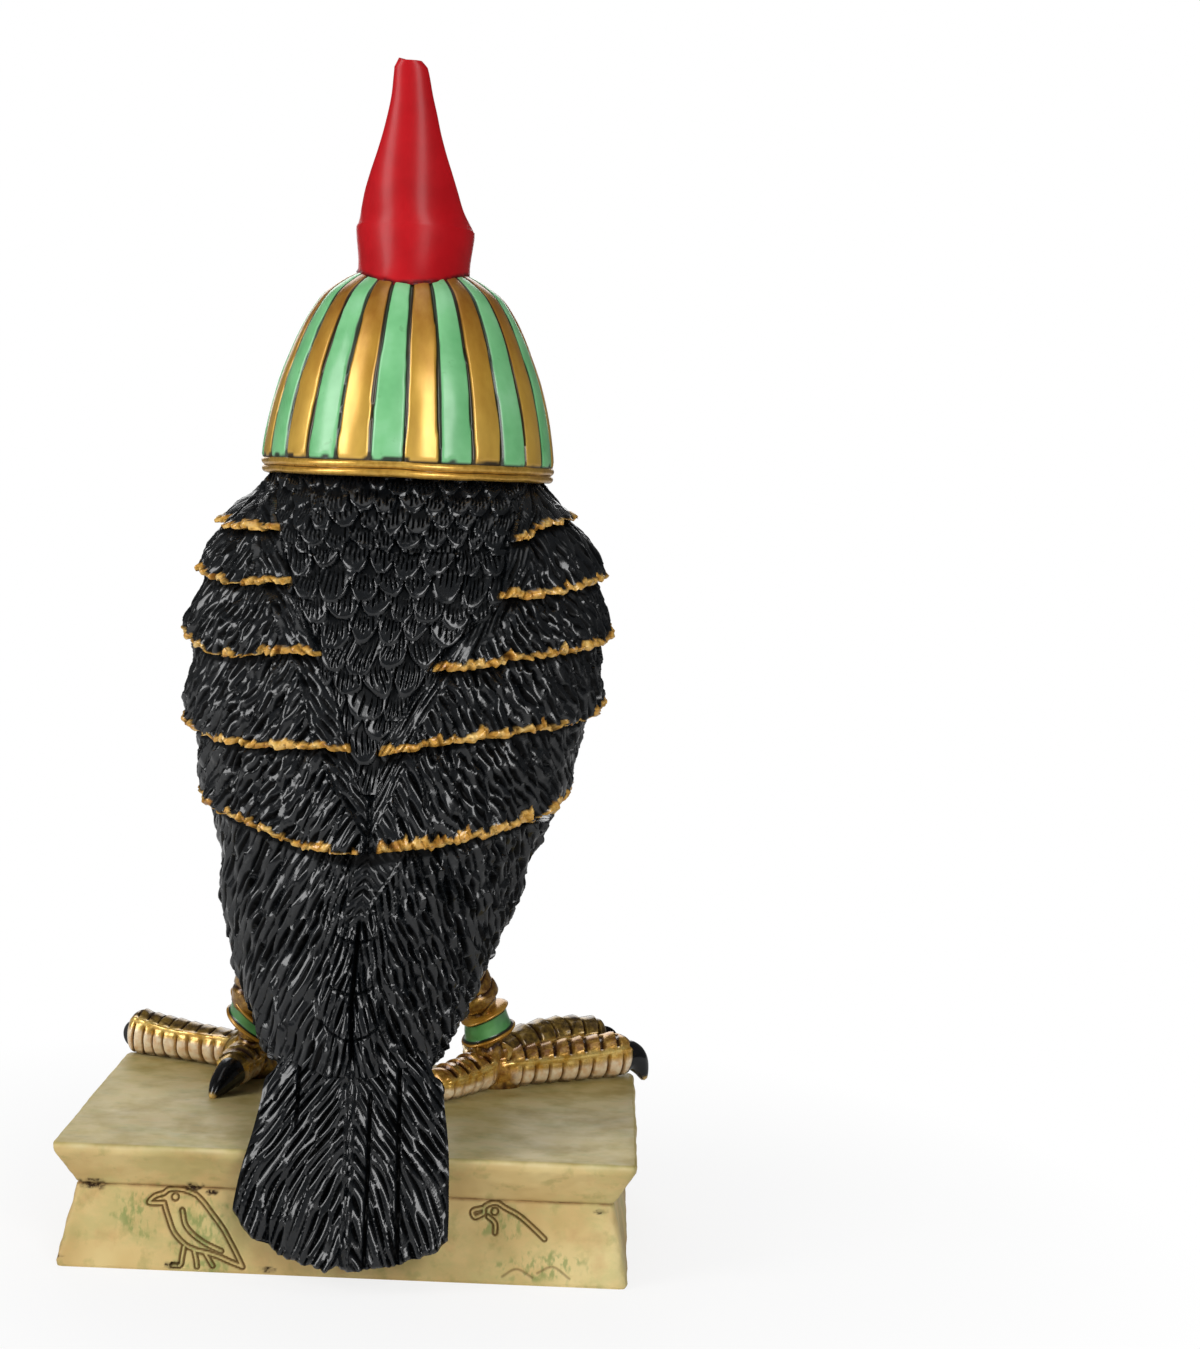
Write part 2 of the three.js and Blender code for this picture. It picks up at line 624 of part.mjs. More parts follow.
const paintedResin = new THREE.MeshStandardMaterial({ color: 0x17171a, roughness: 0.3, metalness: 0 });
const figure = new THREE.Mesh(geometry, paintedResin);
figure.name = "horus_falcon_figure";

const group = new THREE.Group();
group.add(figure);
export default group;
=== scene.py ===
"""The painted surface of a cast falcon figure with a striped cap and a tall red crown, on a cream plinth.

Sizes are millimetres in the figure's own frame: +Z is up, the bird looks along -Y, and the origin is
the middle of the plinth's underside. The meshes are written in metres.
Heights of the bird are measured from BIRD_FOOT, a little under the plinth's top.
"""

import math

import bpy
import numpy as np
from mathutils import Matrix, Vector


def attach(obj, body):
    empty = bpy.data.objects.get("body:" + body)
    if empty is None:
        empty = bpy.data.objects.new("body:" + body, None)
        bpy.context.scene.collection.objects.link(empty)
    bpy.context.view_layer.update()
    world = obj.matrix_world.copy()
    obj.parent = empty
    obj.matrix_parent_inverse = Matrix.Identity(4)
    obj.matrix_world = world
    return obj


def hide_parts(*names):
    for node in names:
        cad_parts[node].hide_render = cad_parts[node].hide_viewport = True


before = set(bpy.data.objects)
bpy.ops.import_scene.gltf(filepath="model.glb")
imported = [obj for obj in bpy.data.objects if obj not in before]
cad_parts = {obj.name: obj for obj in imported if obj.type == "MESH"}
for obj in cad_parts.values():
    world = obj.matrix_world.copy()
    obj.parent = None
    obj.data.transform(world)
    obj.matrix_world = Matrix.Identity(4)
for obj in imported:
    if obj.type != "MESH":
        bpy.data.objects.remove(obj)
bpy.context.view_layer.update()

FIGURE = "horus_falcon_figure"
MILLIMETRE = 0.001

# Plinth. EDGE_DROPS are the rows of its rounded upper edge, below its top
PLINTH_WIDTH = 90.0
PLINTH_DEPTH = 60.0
PLINTH_HEIGHT = 19.6
SLAB_THICKNESS = 7.1
SLAB_UNDERCUT = 3.3
BLOCK_FLARE = 2.6
PLINTH_EDGE = 0.5
SEAM_HEIGHT = PLINTH_HEIGHT - SLAB_THICKNESS
CORNER_RADIUS = 1.1
EDGE_DROPS = (0, 0.1, 0.25, 0.45, 0.75, 1.1, 1.4)

# Bird. FINE and MEDIUM are the widths of a mesh's columns and rows, BODY_REACH is the body's usual radius
# and HIDDEN is how far a piece's closing rings lie under the body's form
BIRD_FOOT = 19.0
BODY_REACH = 31
HIDDEN = -9.0
FINE = 0.25
MEDIUM = 0.62
FLANK_COLUMNS = 55
WING_TOP = 106.5
WING_THICKNESS = 1.5
FEATHER_LIP = 1.8
FEATHER_WIDTH = 4.7
CUT_SPACING = 1.4
CUT_LENGTH = 5.2
CUT_DEPTH = 0.66
RIDGE_SLANT = 0.95
VANE_WIDTH = 4.4
RUMP_TOP = 50.5
RUMP_FOOT = 12.4
BREAST_TOP = 110.0
BREAST_FOOT = 12.0
TAIL_ROOT = 17.0
TAIL_GAP = 4.1
TAIL_ROOT_Y = 26.5
TAIL_TIP_Y = 35.95

# Cap and crown
STRIPE_COUNT = 27
STRIPE_TURN = math.radians(16.1)
CAP_LEAN = -2.9
CAP_Y = -8.5
CAP_BOTTOM = 104.1
CAP_TOP = 137.6
CAP_DEPTH_SHARE = 0.97
BAND_HEIGHT = 2.6
CROWN_LEAN = -2.7
CROWN_Y = -8.7
CROWN_RIM = 144.7
CROWN_TOP = 170.4
CROWN_RADIUS = 9.7

# Face, legs and feet
FACE_Y = -21.0
FACE_HEIGHT = 116.0
FACE_HALF = 13.2
HEAD_RADII = (14.6, 15.6, 15.2)
EYE_AWAY = 8.4
EYE_UP = 3.2
EYE_RADIUS = 3.0
EYE_BULGE = 2.3
BROW_UP = 7.2
LAPPET_LENGTH = 30
LAPPET_WIDTH = 9.5
LAPPET_BARS = 12
CONTACT_SHADOW_REACH = (1.2, 0.5)

DEGREE = math.pi / 180
FEATHER_SLOPE = 75 * DEGREE
WING_TURN = 78 * DEGREE
RUMP_TURN = 70 * DEGREE
SIDES = {1: "left", -1: "right"}


# Curves, chance and patterns

def curve(*stations):
    """A smooth curve through (place, value) stations, level beyond its ends."""
    places, values = (np.array(column, float) for column in zip(*sorted(stations)))
    index = np.arange(len(places))
    before = np.maximum(index - 1, 0)
    after = np.minimum(index + 1, len(places) - 1)
    slopes = (values[after] - values[before]) / (places[after] - places[before])

    def value(at):
        at = np.clip(at, places[0], places[-1])
        i = np.clip(np.searchsorted(places, at, side="right") - 1, 0, len(places) - 2)
        span = places[i + 1] - places[i]
        t = (at - places[i]) / span
        start = (1 + 2 * t) * (1 - t) ** 2 * values[i] + t * (1 - t) ** 2 * span * slopes[i]
        return start + t * t * (3 - 2 * t) * values[i + 1] + t * t * (t - 1) * span * slopes[i + 1]

    return value


def ease(low, high, value):
    """0 below low, 1 above high, and smooth between."""
    t = np.clip((value - low) / (high - low), 0, 1)
    return t * t * (3 - 2 * t)


def mix(start, end, share):
    return start + (end - start) * share


def chance(i, j=0, seed=0):
    """A repeatable number from 0 to 1 for whole numbers i and j."""
    wave = np.sin(i * 127.1 + j * 311.7 + seed * 74.7) * 43758.5453
    return wave - np.floor(wave)


def drift(x, y, seed=0):
    """Smooth noise from -1 to 1, with waves about two units long."""
    i, j = np.floor(x), np.floor(y)
    u, v = ease(0, 1, x - i), ease(0, 1, y - j)
    low = mix(chance(i, j, seed), chance(i + 1, j, seed), u)
    high = mix(chance(i, j + 1, seed), chance(i + 1, j + 1, seed), u)
    return 2 * mix(low, high, v) - 1


def bell(offset, width):
    """1 where there is no offset, falling smoothly to almost nothing two widths away."""
    return np.exp(-(offset / width) ** 2)


def unit(vectors):
    return vectors / np.linalg.norm(vectors, axis=-1, keepdims=True)


def round_turns(count):
    """Turns all the way round, in one row."""
    return np.linspace(-math.pi, math.pi, count)[None, :]


def polar_turns(count, margin=0.02):
    """Turns from one pole to the other, in one column."""
    return np.linspace(margin, math.pi - margin, count)[:, None]


def down_shares(count):
    """Shares from 0 to 1, in one column."""
    return np.linspace(0, 1, count)[:, None]


def cuts(along, across, spacing, length, seed):
    """Leaf-shaped carving strokes in rows: their depth, 0 to 1, and the slant of the ridges between them."""
    across = across / spacing + 0.3 * drift(along / 5, across / 6, seed)
    row = np.floor(across)
    place = along / length + chance(row, 0, seed) + 0.15 * drift(across / 3, along / 3, seed + 5)
    cell = np.floor(place)
    leaf = np.sin(math.pi * (place - cell) ** 0.85) ** 0.7
    size = 0.4 + 0.6 * chance(row, cell, seed + 1)
    offset = across - row - 0.5 - 0.26 * (chance(row, cell, seed + 2) - 0.5)
    half_width = np.maximum(0.3 * size * leaf, 0.02)
    cut = np.clip(1.3 - np.abs(offset) / half_width, 0, 1) * size * leaf ** 0.5
    # A ridge runs from one row's cuts to the next row's, and its slant changes slowly along it
    ridge = np.where(offset > 0, row, row - 1)
    aside = np.where(offset > 0, offset - 0.5, offset + 0.5)
    slant = aside * drift(along / (0.7 * length), 7.3 * ridge, seed + 4)
    return cut, slant + 0.3 * drift(along / (0.4 * length), 5.7 * ridge, seed + 7)


def slanted_cuts(across, upward, slope, spacing, length, seed, bend=0.0):
    """Carving strokes that run outwards and down at a slope."""
    along = across * np.cos(slope) - upward * np.sin(slope)
    return cuts(along, across * np.sin(slope) + upward * np.cos(slope) + bend, spacing, length, seed)


def scales(place, height, width, step, seed, fans=5):
    """Rounded feathers in staggered rows, upper over lower: how far points stand out, and their grooves."""
    lift = np.zeros(np.broadcast(place, height).shape)
    groove = np.zeros_like(lift)
    first = np.ceil(-height / step)
    for later in (2, 1, 0):
        row = first + later
        column_place = place / width + 0.5 * (row % 2) + 0.3 * (chance(row, 3, seed) - 0.5)
        column = np.floor(column_place)
        x = 2 * (column_place - column) - 1 + 0.2 * (chance(column, row, seed) - 0.5)
        drop = 0.42 * (chance(column, row, seed + 1) - 0.5)
        rim = -row + drop + 0.85 * (1 - np.sqrt(np.clip(1 - x * x, 0, 1)))
        above = height / step - rim
        seen = above >= 0
        body = np.clip(1 - above / 1.9, 0, 1) ** 0.8 * (0.8 + 0.35 * chance(column, row, seed + 3))
        tilt = 0.3 * x * (chance(column, row, seed + 2) - 0.5)
        lift = np.where(seen, body + tilt - 0.35 * ease(0.3, 0.0, above) ** 2, lift)
        spread = x / (0.55 + 0.45 * np.clip(1 - above / 2, 0, 1))
        fan = spread * fans / 2 + chance(column, row, seed + 4)
        end = 0.12 + 0.35 * chance(np.floor(fan + 0.5) + 9 * column, row, seed + 5)
        cut = np.clip(np.abs(fan % 1 - 0.5) * 5.6 - 1.7, 0, 1)
        cut = cut * ease(end, end + 0.25, above) * ease(1.5, 1.0, above)
        # The grooves also take in a strip of painted shade just under the rim above, which also sinks the
        # surface a little
        groove = np.where(seen, np.maximum(cut, 0.3 * ease(0.75, 1.05, above)), groove)
    return lift, groove


# Meshes

def grid_piece(name, points, masks=None, core=None, sharp=44):
    """A closed mesh from rows and columns of points.

    Without a core the columns run round, and each end row closes on its own middle.
    With a core, a point inside the figure, the whole border runs in to that point."""
    points = np.array(points, float)
    if core is None:
        points[:, -1] = points[:, 0]
        points[0] = points[0].mean(axis=0)
        points[-1] = points[-1].mean(axis=0)
    else:
        points[[0, -1]] = core
        points[:, [0, -1]] = core
    rows, columns = points.shape[0] - 1, points.shape[1] - 1
    bpy.ops.object.select_all(action="DESELECT")
    bpy.ops.mesh.primitive_grid_add(x_subdivisions=columns, y_subdivisions=rows, size=1)
    piece = bpy.context.object
    piece.name = name
    piece.data.name = name
    piece.data.vertices.foreach_set("co", (points * MILLIMETRE).astype(np.float32).ravel())
    for mask, values in (masks or {}).items():
        layer = piece.data.attributes.new(mask, "FLOAT", "POINT")
        layer.data.foreach_set("value", np.broadcast_to(values, points.shape[:2]).astype(np.float32).ravel())
    bpy.ops.object.mode_set(mode="EDIT")
    bpy.ops.mesh.select_all(action="SELECT")
    bpy.ops.mesh.remove_doubles(threshold=1e-6)
    bpy.ops.mesh.normals_make_consistent(inside=False)
    bpy.ops.object.mode_set(mode="OBJECT")
    bpy.ops.object.shade_smooth_by_angle(angle=sharp * DEGREE)
    return piece


def finish(piece, material):
    """Gives a piece its paint and its place in the figure."""
    piece.data.materials.clear()
    piece.data.materials.append(material)
    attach(piece, "root")
    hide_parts(FIGURE)


def stack(x, y, z):
    return np.stack(np.broadcast_arrays(x, y, z), axis=-1)


def path_frames(points, shares, upright):
    """Centres, sideways and upward directions along a smooth path through points."""
    points = np.array(points, float)
    steps = np.linspace(0, 1, len(points))
    tracks = [curve(*zip(steps, track)) for track in points.T]

    def place(t):
        return np.stack([track(t) for track in tracks], axis=-1)

    nudge = 1e-3
    along = unit(place(np.minimum(shares + nudge, 1)) - place(np.maximum(shares - nudge, 0)))
    side = unit(np.cross(along, upright))
    return place(shares), side, np.cross(side, along)


def limb_points(points, t, turns, wide, tall, upright=(0, 0, 1)):
    """Points of a limb at shares t of its path. Turn 0 is its upper side; wide and tall are its radii."""
    centre, side, lift = path_frames(points, t[:, 0], upright)
    across = (wide * np.sin(turns))[..., None] * side[:, None]
    return centre[:, None] + across + (tall * np.cos(turns))[..., None] * lift[:, None]


# The body's smooth form, as in the solid

body_half = curve((111, 15), (106, 20.2), (101, 23.2), (97, 27.2), (93, 29.8), (88.5, 30.9), (84, 31.7),
                  (80, 32.3), (74, 31.9), (68, 31.7), (62, 29.7), (56, 27.9), (50, 26.3), (44, 24.2),
                  (38, 22.9), (32, 20.8), (26, 18.4), (20, 15.9), (11, 10.8))
body_back = curve((111, 4), (106, 10), (99, 15), (88, 20), (77, 23), (66, 25), (52, 27), (41, 28.2),
                  (30, 29.2), (11, 31.5))
body_front = curve((111, -22), (106, -26), (99, -27.5), (88, -29.5), (77, -29.5), (66, -27.5),
                   (52, -22), (41, -15), (30, -5), (20, 7), (11, 18))
body_lean = curve((107, -2.8), (88, -3.0), (80, -2.8), (70, -2.4), (62, -1.8), (50, -1.7), (44, -1.2),
                  (38, -0.6), (32, -0.3), (26, 0.0), (20, -0.1), (11, -0.6))
wing_edge = curve((107, 146), (96, 140), (80, 128), (60, 114), (40, 98), (24, 80), (11, 66))


def on_body(turn, height, out):
    """Points of the body's form, moved outwards. Turn 0 is the back's middle and + is the bird's left."""
    back = body_back(height)
    front = body_front(height)
    x = body_lean(height) + np.sin(turn) * (body_half(height) + out)
    y = (back + front) / 2 + np.cos(turn) * ((back - front) / 2 + out)
    return stack(x, y, height + BIRD_FOOT)


# Plumage. The mantle is a V of small feathers between the wings: its border, from the back's middle
mantle_left = curve((106, 25), (96, 20), (86, 15.5), (77, 10), (64, 4), (56.5, 1.4), (50, 0))
mantle_right = curve((106, 24), (96.5, 19.5), (86, 17.2), (76.6, 8.8), (64, 1.6), (56.5, 0.4), (50, 0))
MANTLE_TOP = 107.0
MANTLE_FOOT = 55.5

# Rows of long feathers: lower edge at turns in degrees, and for the left and the right side where the
# gilding starts, in degrees, and how thick it is
WING_ROWS = (
    dict(edge=curve((-110, 100), (-57, 98.2), (-41, 95.7), (0, 95), (45, 95.9), (60, 95.7), (110, 98)),
         gilt=(38, 40), thick=(1.2, 1.4)),
    dict(edge=curve((-110, 91), (-59, 88), (-38, 86.7), (0, 86.4), (35, 87.4), (53, 87), (110, 90)),
         gilt=(27, 32), thick=(1.1, 1.3)),
    dict(edge=curve((-110, 82), (-75, 79.4), (-37, 77.2), (-20, 75.6), (0, 76), (25, 77.2), (45, 75.9),
                    (61, 76.4), (110, 81)), gilt=(16.5, 14), thick=(1.2, 1.5)),
    dict(edge=curve((-110, 69), (-41, 65.9), (-18, 64.1), (0, 61.5), (14, 62.8), (47, 62.5), (66, 63.4),
                    (110, 67)), gilt=(6.5, 1), thick=(1.3, 1.8)),
    dict(edge=curve((-110, 55), (-64, 52.5), (-30, 49.1), (-8, 47.4), (0, 46.6), (22, 47.7), (47, 50.6),
                    (110, 54)), gilt=(3, 4), thick=(1.1, 2.2)),
)


def mantle_border(turn, height):
    return np.where(turn > 0, mantle_left(height), mantle_right(height))


def body_columns(limit):
    """Columns from breast to breast round the back: fine behind, wider on the flanks, few in front."""
    flank = np.linspace(1, 2, FLANK_COLUMNS)[1:]
    behind = np.linspace(0, 1, round(limit / FINE))
    half = np.concatenate([behind, flank, [2.03, 2.2, 2.5, 3.0]])
    return np.concatenate([-half[:0:-1], half])


def column_turns(columns, height, limit_turn):
    """Turns of the columns: 0 to 1 is the back, 1 to 2 the flank to the wing's edge, 2 to 3 the breast."""
    edge = wing_edge(height) * DEGREE
    near = np.minimum(limit_turn, edge - 12 * DEGREE)
    share = np.abs(columns)
    turn = np.where(share <= 1, share * near, mix(near, edge, share - 1))
    turn = np.where(share > 2, mix(edge, math.pi, share - 2), turn)
    return np.sign(columns) * turn


def wing_relief(turn, height, above, seed):
    """Carving of the wings. above is the height over the row's lower edge.

    Returns how far the surface stands out and the depth of the carving strokes."""
    away = np.abs(turn) * body_half(height)
    left = turn > 0
    inner = away - mantle_border(turn, height)
    vane = np.where(left, VANE_WIDTH, 0.8 * VANE_WIDTH) * ease(48, 60, height) + 0.7
    slope = mix(64, 54, ease(4, 22, inner)) * DEGREE
    outward, slant = slanted_cuts(away, above, slope, CUT_SPACING, CUT_LENGTH, seed + 20 * left)
    # The inner vane: strokes that run in to the mantle on the left, and long fine lines along it on the right
    fold = np.where(left, 46, 64) * DEGREE
    inward, fine_slant = slanted_cuts(-away, height, fold, np.where(left, 1.05, 0.8),
                                      np.where(left, 4.2, 9.0), seed + 3 + 20 * left)
    on_vane = 1 - ease(vane - 0.35, vane + 0.05, inner)
    shaft = bell(inner - vane, 0.3) * (inner > 0) * left
    cut = mix(outward, inward, on_vane) * (1 - 0.85 * shaft)
    feather = (away * np.sin(FEATHER_SLOPE) + above * np.cos(FEATHER_SLOPE)) / FEATHER_WIDTH + 0.37 * seed
    across = feather - np.floor(feather)
    overlap = (0.75 * (across - 0.5) + 0.35 * np.sin(math.pi * across)) * (1 - on_vane)
    swell = 0.45 * drift(away / 2.6, height / 4.0, seed + 31)
    ridges = RIDGE_SLANT * mix(slant, 0.6 * fine_slant, on_vane)
    return overlap + swell + ridges + 0.4 * shaft - CUT_DEPTH * cut * mix(1, 0.7, on_vane), cut


def gilded_edge(turn, above, row, number):
    """Where gold paint lies: an uneven line along the row's lower edge, with blobs, low spikes and gaps."""
    left = turn > 0
    start = np.where(left, *row["gilt"]) * BODY_REACH * DEGREE
    thick = np.where(left, *row["thick"])
    place = np.abs(turn) * BODY_REACH
    blob = place / 3.6 + 0.3 * drift(place / 4, 0, number + 60) + 0.3 * left
    index = np.floor(blob)
    step = blob - index
    size = chance(index + 40 * left, number, 7)
    hump = (4 * step * (1 - step)) ** 0.5
    gap = 1 - 0.9 * (chance(index + 40 * left, number, 19) > 0.9)
    spikes = place / 1.9 + 0.4 * drift(place / 2, 0, number + 70)
    spike = np.clip(1 - np.abs(spikes - np.floor(spikes) - 0.5 + 0.1 * above) * 2.8, 0, 1)
    spike = spike * chance(np.floor(spikes) + 70 * left, number, 11) ** 3
    breadth = 0.55 + thick * (0.1 + 0.6 * size) * hump + 0.5 * thick * spike
    return ease(-0.1, 0.1, breadth * gap - above) * ease(-0.4, 0.2, place - start)


def wing_level(turn):
    """The wings' and mantle's level over the body, which is lowest along the middle of the back."""
    return WING_THICKNESS * np.minimum(1, np.abs(turn) / 1.2) - WING_THICKNESS * 0.8


def wing_row(number):
    """One row of long feathers round the body, a closed ring whose lower lip stands over the next row."""
    row = WING_ROWS[number]
    columns = body_columns(WING_TURN * 34)
    rough_turn = column_turns(columns, 80.0 - 8 * number, WING_TURN)
    previous = WING_ROWS[number - 1]["edge"](rough_turn / DEGREE) if number else WING_TOP
    edge = row["edge"](rough_turn / DEGREE)
    share = down_shares(round((previous - edge).max() / FINE))
    away = np.abs(rough_turn) * BODY_REACH
    feather = away * np.sin(FEATHER_SLOPE) / FEATHER_WIDTH + 0.37 * (number + 1)
    tip = feather - np.floor(feather)
    ragged = 0.45 * np.sqrt(np.clip(1 - (2 * tip - 1) ** 2, 0, 1)) + 0.25 * drift(away / 0.7, 0, number + 50)
    ragged = ragged + 0.5 * chance(np.floor(feather), number, 3)
    foot = edge - ragged * ease(3, 8, away)
    height = mix(previous + (1.6 if number else 0), foot, share)
    turn = column_turns(columns, height, WING_TURN)
    above = height - foot
    out, cut = wing_relief(turn, height, above, number + 1)
    gilt = gilded_edge(turn, above, row, number)
    lip = FEATHER_LIP * ease(-0.15, 1, share) ** 1.3
    inside = np.abs(turn) * body_half(height) - mantle_border(turn, height)
    inside = ease(0.35, -0.35, inside) * ease(54, 58, height)
    ahead = ease(0.2, 1.6, (np.abs(turn) - wing_edge(height) * DEGREE) * BODY_REACH)
    rounding = 0.5 * ease(0.5, 0, above)
    seam = 0.8 * bell(turn * BODY_REACH, 0.45) * ease(58, 55, height)
    out = out * (1 - ahead) * (1 - inside) + wing_level(turn) + lip - rounding
    out = out - 2.4 * inside - 3.2 * ahead - seam
    out = out + gilt * (0.35 + 0.3 * drift(turn * BODY_REACH / 1.3, above, number + 80))
    points = np.concatenate([
        on_body(turn[:1], height[:1] + 0.2, HIDDEN),
        on_body(turn, height, out),
        on_body(turn[-1:], height[-1:] + 0.3, out[-1:] - 1.5),
        on_body(turn[-1:], height[-1:] + 0.8, HIDDEN),
    ])
    # Painted shade: a band fading down from under the lip of the row above joins the cuts in the mask
    if number:
        cut = np.maximum(cut, ease(2.4, 0.5, previous - height))
    masks = dict(gilt=np.concatenate([gilt[:1], gilt, gilt[-1:] * 0.6, gilt[-1:] * 0]),
                 painted_shade=np.concatenate([cut[:1], cut, cut[-1:], cut[-1:] * 0]))
    return grid_piece(f"wing_feathers_{number + 1}", points, masks)


def mantle():
    """The V of small rounded feathers between the wings, whose sides lie under the wings."""
    rows = round((MANTLE_TOP - MANTLE_FOOT) / FINE)
    height = np.linspace(MANTLE_TOP, MANTLE_FOOT, rows)[:, None]
    share = np.linspace(-1, 1, 210)[None, :]
    reach = mantle_border(share, height) + 2.2
    place = share * reach
    turn = place / body_half(height)
    warp_x = place + 0.9 * drift(place / 5, height / 5, 3)
    warp_z = height + 0.9 * drift(place / 5, height / 5, 4)
    small, small_groove = scales(warp_x, warp_z, 3.7, 2.9, 11)
    large, large_groove = scales(warp_x, warp_z, 4.5, 3.7, 15)
    low = height + 1.5 * drift(place / 6, height / 6, 9) < 93
    lift = np.where(low, large, small)
    groove = np.where(low, large_groove, small_groove)
    margin = reach * (1 - np.abs(share))
    sink = 0.9 * ease(3.2, 0.4, margin) + 1.2 * ease(1.0, 0, margin)
    swell = 0.4 * drift(place / 5, height / 5, 5)
    out = wing_level(turn) + 0.3 + 1.1 * lift - 0.5 * groove + swell - sink
    # Painted shade in the grooves and where a feather lies low under the rim above
    masks = dict(gilt=0.0, painted_shade=np.clip(groove + 0.7 * ease(0.25, 0, lift), 0, 1))
    return grid_piece("mantle_feathers", on_body(turn, height, out), masks, on_body(0.0, 85.0, -14.0))


def rump():
    """The lower back: long steep feathers that narrow to the tail, parted by a deep groove in the middle."""
    columns = body_columns(RUMP_TURN * 27)
    share = down_shares(round((RUMP_TOP - RUMP_FOOT) / FINE))
    away = np.abs(columns) * 14
    end = RUMP_FOOT + 1.7 * ease(4, 12, away) + 0.3 * drift(away / 0.8, 0, 4)
    height = mix(RUMP_TOP, end, share)
    turn = column_turns(columns, height, RUMP_TURN)
    place = turn * body_half(height)
    away = np.abs(place)
    left = turn > 0
    slanting, slant = slanted_cuts(away, height, 63 * DEGREE, CUT_SPACING * np.where(left, 1.1, 0.92),
                                   CUT_LENGTH * np.where(left, 1.1, 0.78), 61 + 9 * left)
    slant = slant * np.where(left, 1.1, 1.7)
    upright, upright_slant = cuts(-height, place + 0.25 * (height - 26) * np.sign(place), 1.05, 4.6, 67)
    aside = ease(3.6, 5.6, away + 0.12 * (26 - height) + drift(place / 2, height / 2, 15))
    cut = mix(upright, slanting, aside)
    out = RIDGE_SLANT * mix(upright_slant, slant, aside) + 0.4 * drift(place / 2.4, height / 5, 12)
    # Three feather ends, one under another: a thin dark line, over which the feather stands out a little
    for middle_height, spread, rise in ((33.6, 3.8, 0.06), (25.8, 4.4, 0.07), (18.8, 5.2, 0.1)):
        over = height - middle_height - rise * away ** 2 - 0.35 * drift(place / 2, 0, 6)
        reach = ease(spread, spread - 1.5, away + 0.8 * drift(place, 0, 7))
        out = out + 0.4 * ease(0, 0.25, over) * ease(4.5, 0, over) * reach
        cut = np.maximum(cut, 0.5 * bell(over + 0.2, 0.16) * reach)
    # Two thin raised lines under the last gilded row, with short strokes between them
    line_left = 1.9
    line_right = mix(-1.4, -5.9, ease(36, 48, height))
    between = ease(-0.2, 0.2, line_left - place) * ease(-0.2, 0.2, place - line_right)
    between = between * ease(35.5, 37, height)
    inner = np.abs(place + 0.4)
    strokes, _ = cuts(inner * 0.7 - height * 0.7, inner * 0.7 + height * 0.7, 1.05, 2.6, 63)
    cut = mix(cut, 0.7 * strokes, between)
    out = out * (1 - 0.8 * between)
    raised = (bell(place - line_left, 0.25) + bell(place - line_right, 0.25)) * ease(35.5, 38, height)
    cut = cut * (1 - 0.8 * np.clip(raised, 0, 1))
    groove = bell(place + 0.35 + 0.1 * drift(height / 3, 0, 3), 0.3) * ease(37.5, 35, height)
    cut = np.maximum(cut, groove)
    out = out - CUT_DEPTH * cut - 0.5 * groove + 0.4 * raised
    level = -0.35 + 0.5 * ease(45, 20, height) + 0.9 * ease(0.4, 1.2, np.abs(turn))
    ahead = ease(0.2, 1.6, (np.abs(turn) - wing_edge(height) * DEGREE) * 24)
    scallop = 0.5 * np.abs(np.sin(height / 3.4)) * ease(60, 85, np.abs(turn) / DEGREE)
    rounding = 0.6 * ease(0.6, 0, height - end)
    out = (out + scallop) * (1 - ahead) + level - 2.4 * ahead - rounding
    points = np.concatenate([
        on_body(turn[:1], height[:1], HIDDEN),
        on_body(turn, height, out),
        on_body(turn[-1:], height[-1:] + 0.2, out[-1:] - 1.6),
    ])
    # Painted shade in the cuts and in a band under the last gilded row; the patch between the raised lines is
    # faintly darker too
    painted_shade = np.maximum(cut, 0.11 * between)
    painted_shade = np.maximum(painted_shade, ease(2.6, 0.5, WING_ROWS[-1]["edge"](turn / DEGREE) - height))
    masks = dict(gilt=0.0, painted_shade=np.concatenate([painted_shade[:1], painted_shade, painted_shade[-1:]]))
    return grid_piece("rump_feathers", points, masks)


tail_half = curve((17, 10.4), (13.4, 12.2), (12, 13.5), (9, 14.0), (6.3, 14.5), (3, 15.1), (-0.4, 15.7),
                  (-3.8, 16.1), (-7.2, 16.4), (-16, 16.6))
tail_middle = curve((17, -1.0), (5, -1.0), (-4, -0.3), (-16, 0.0))


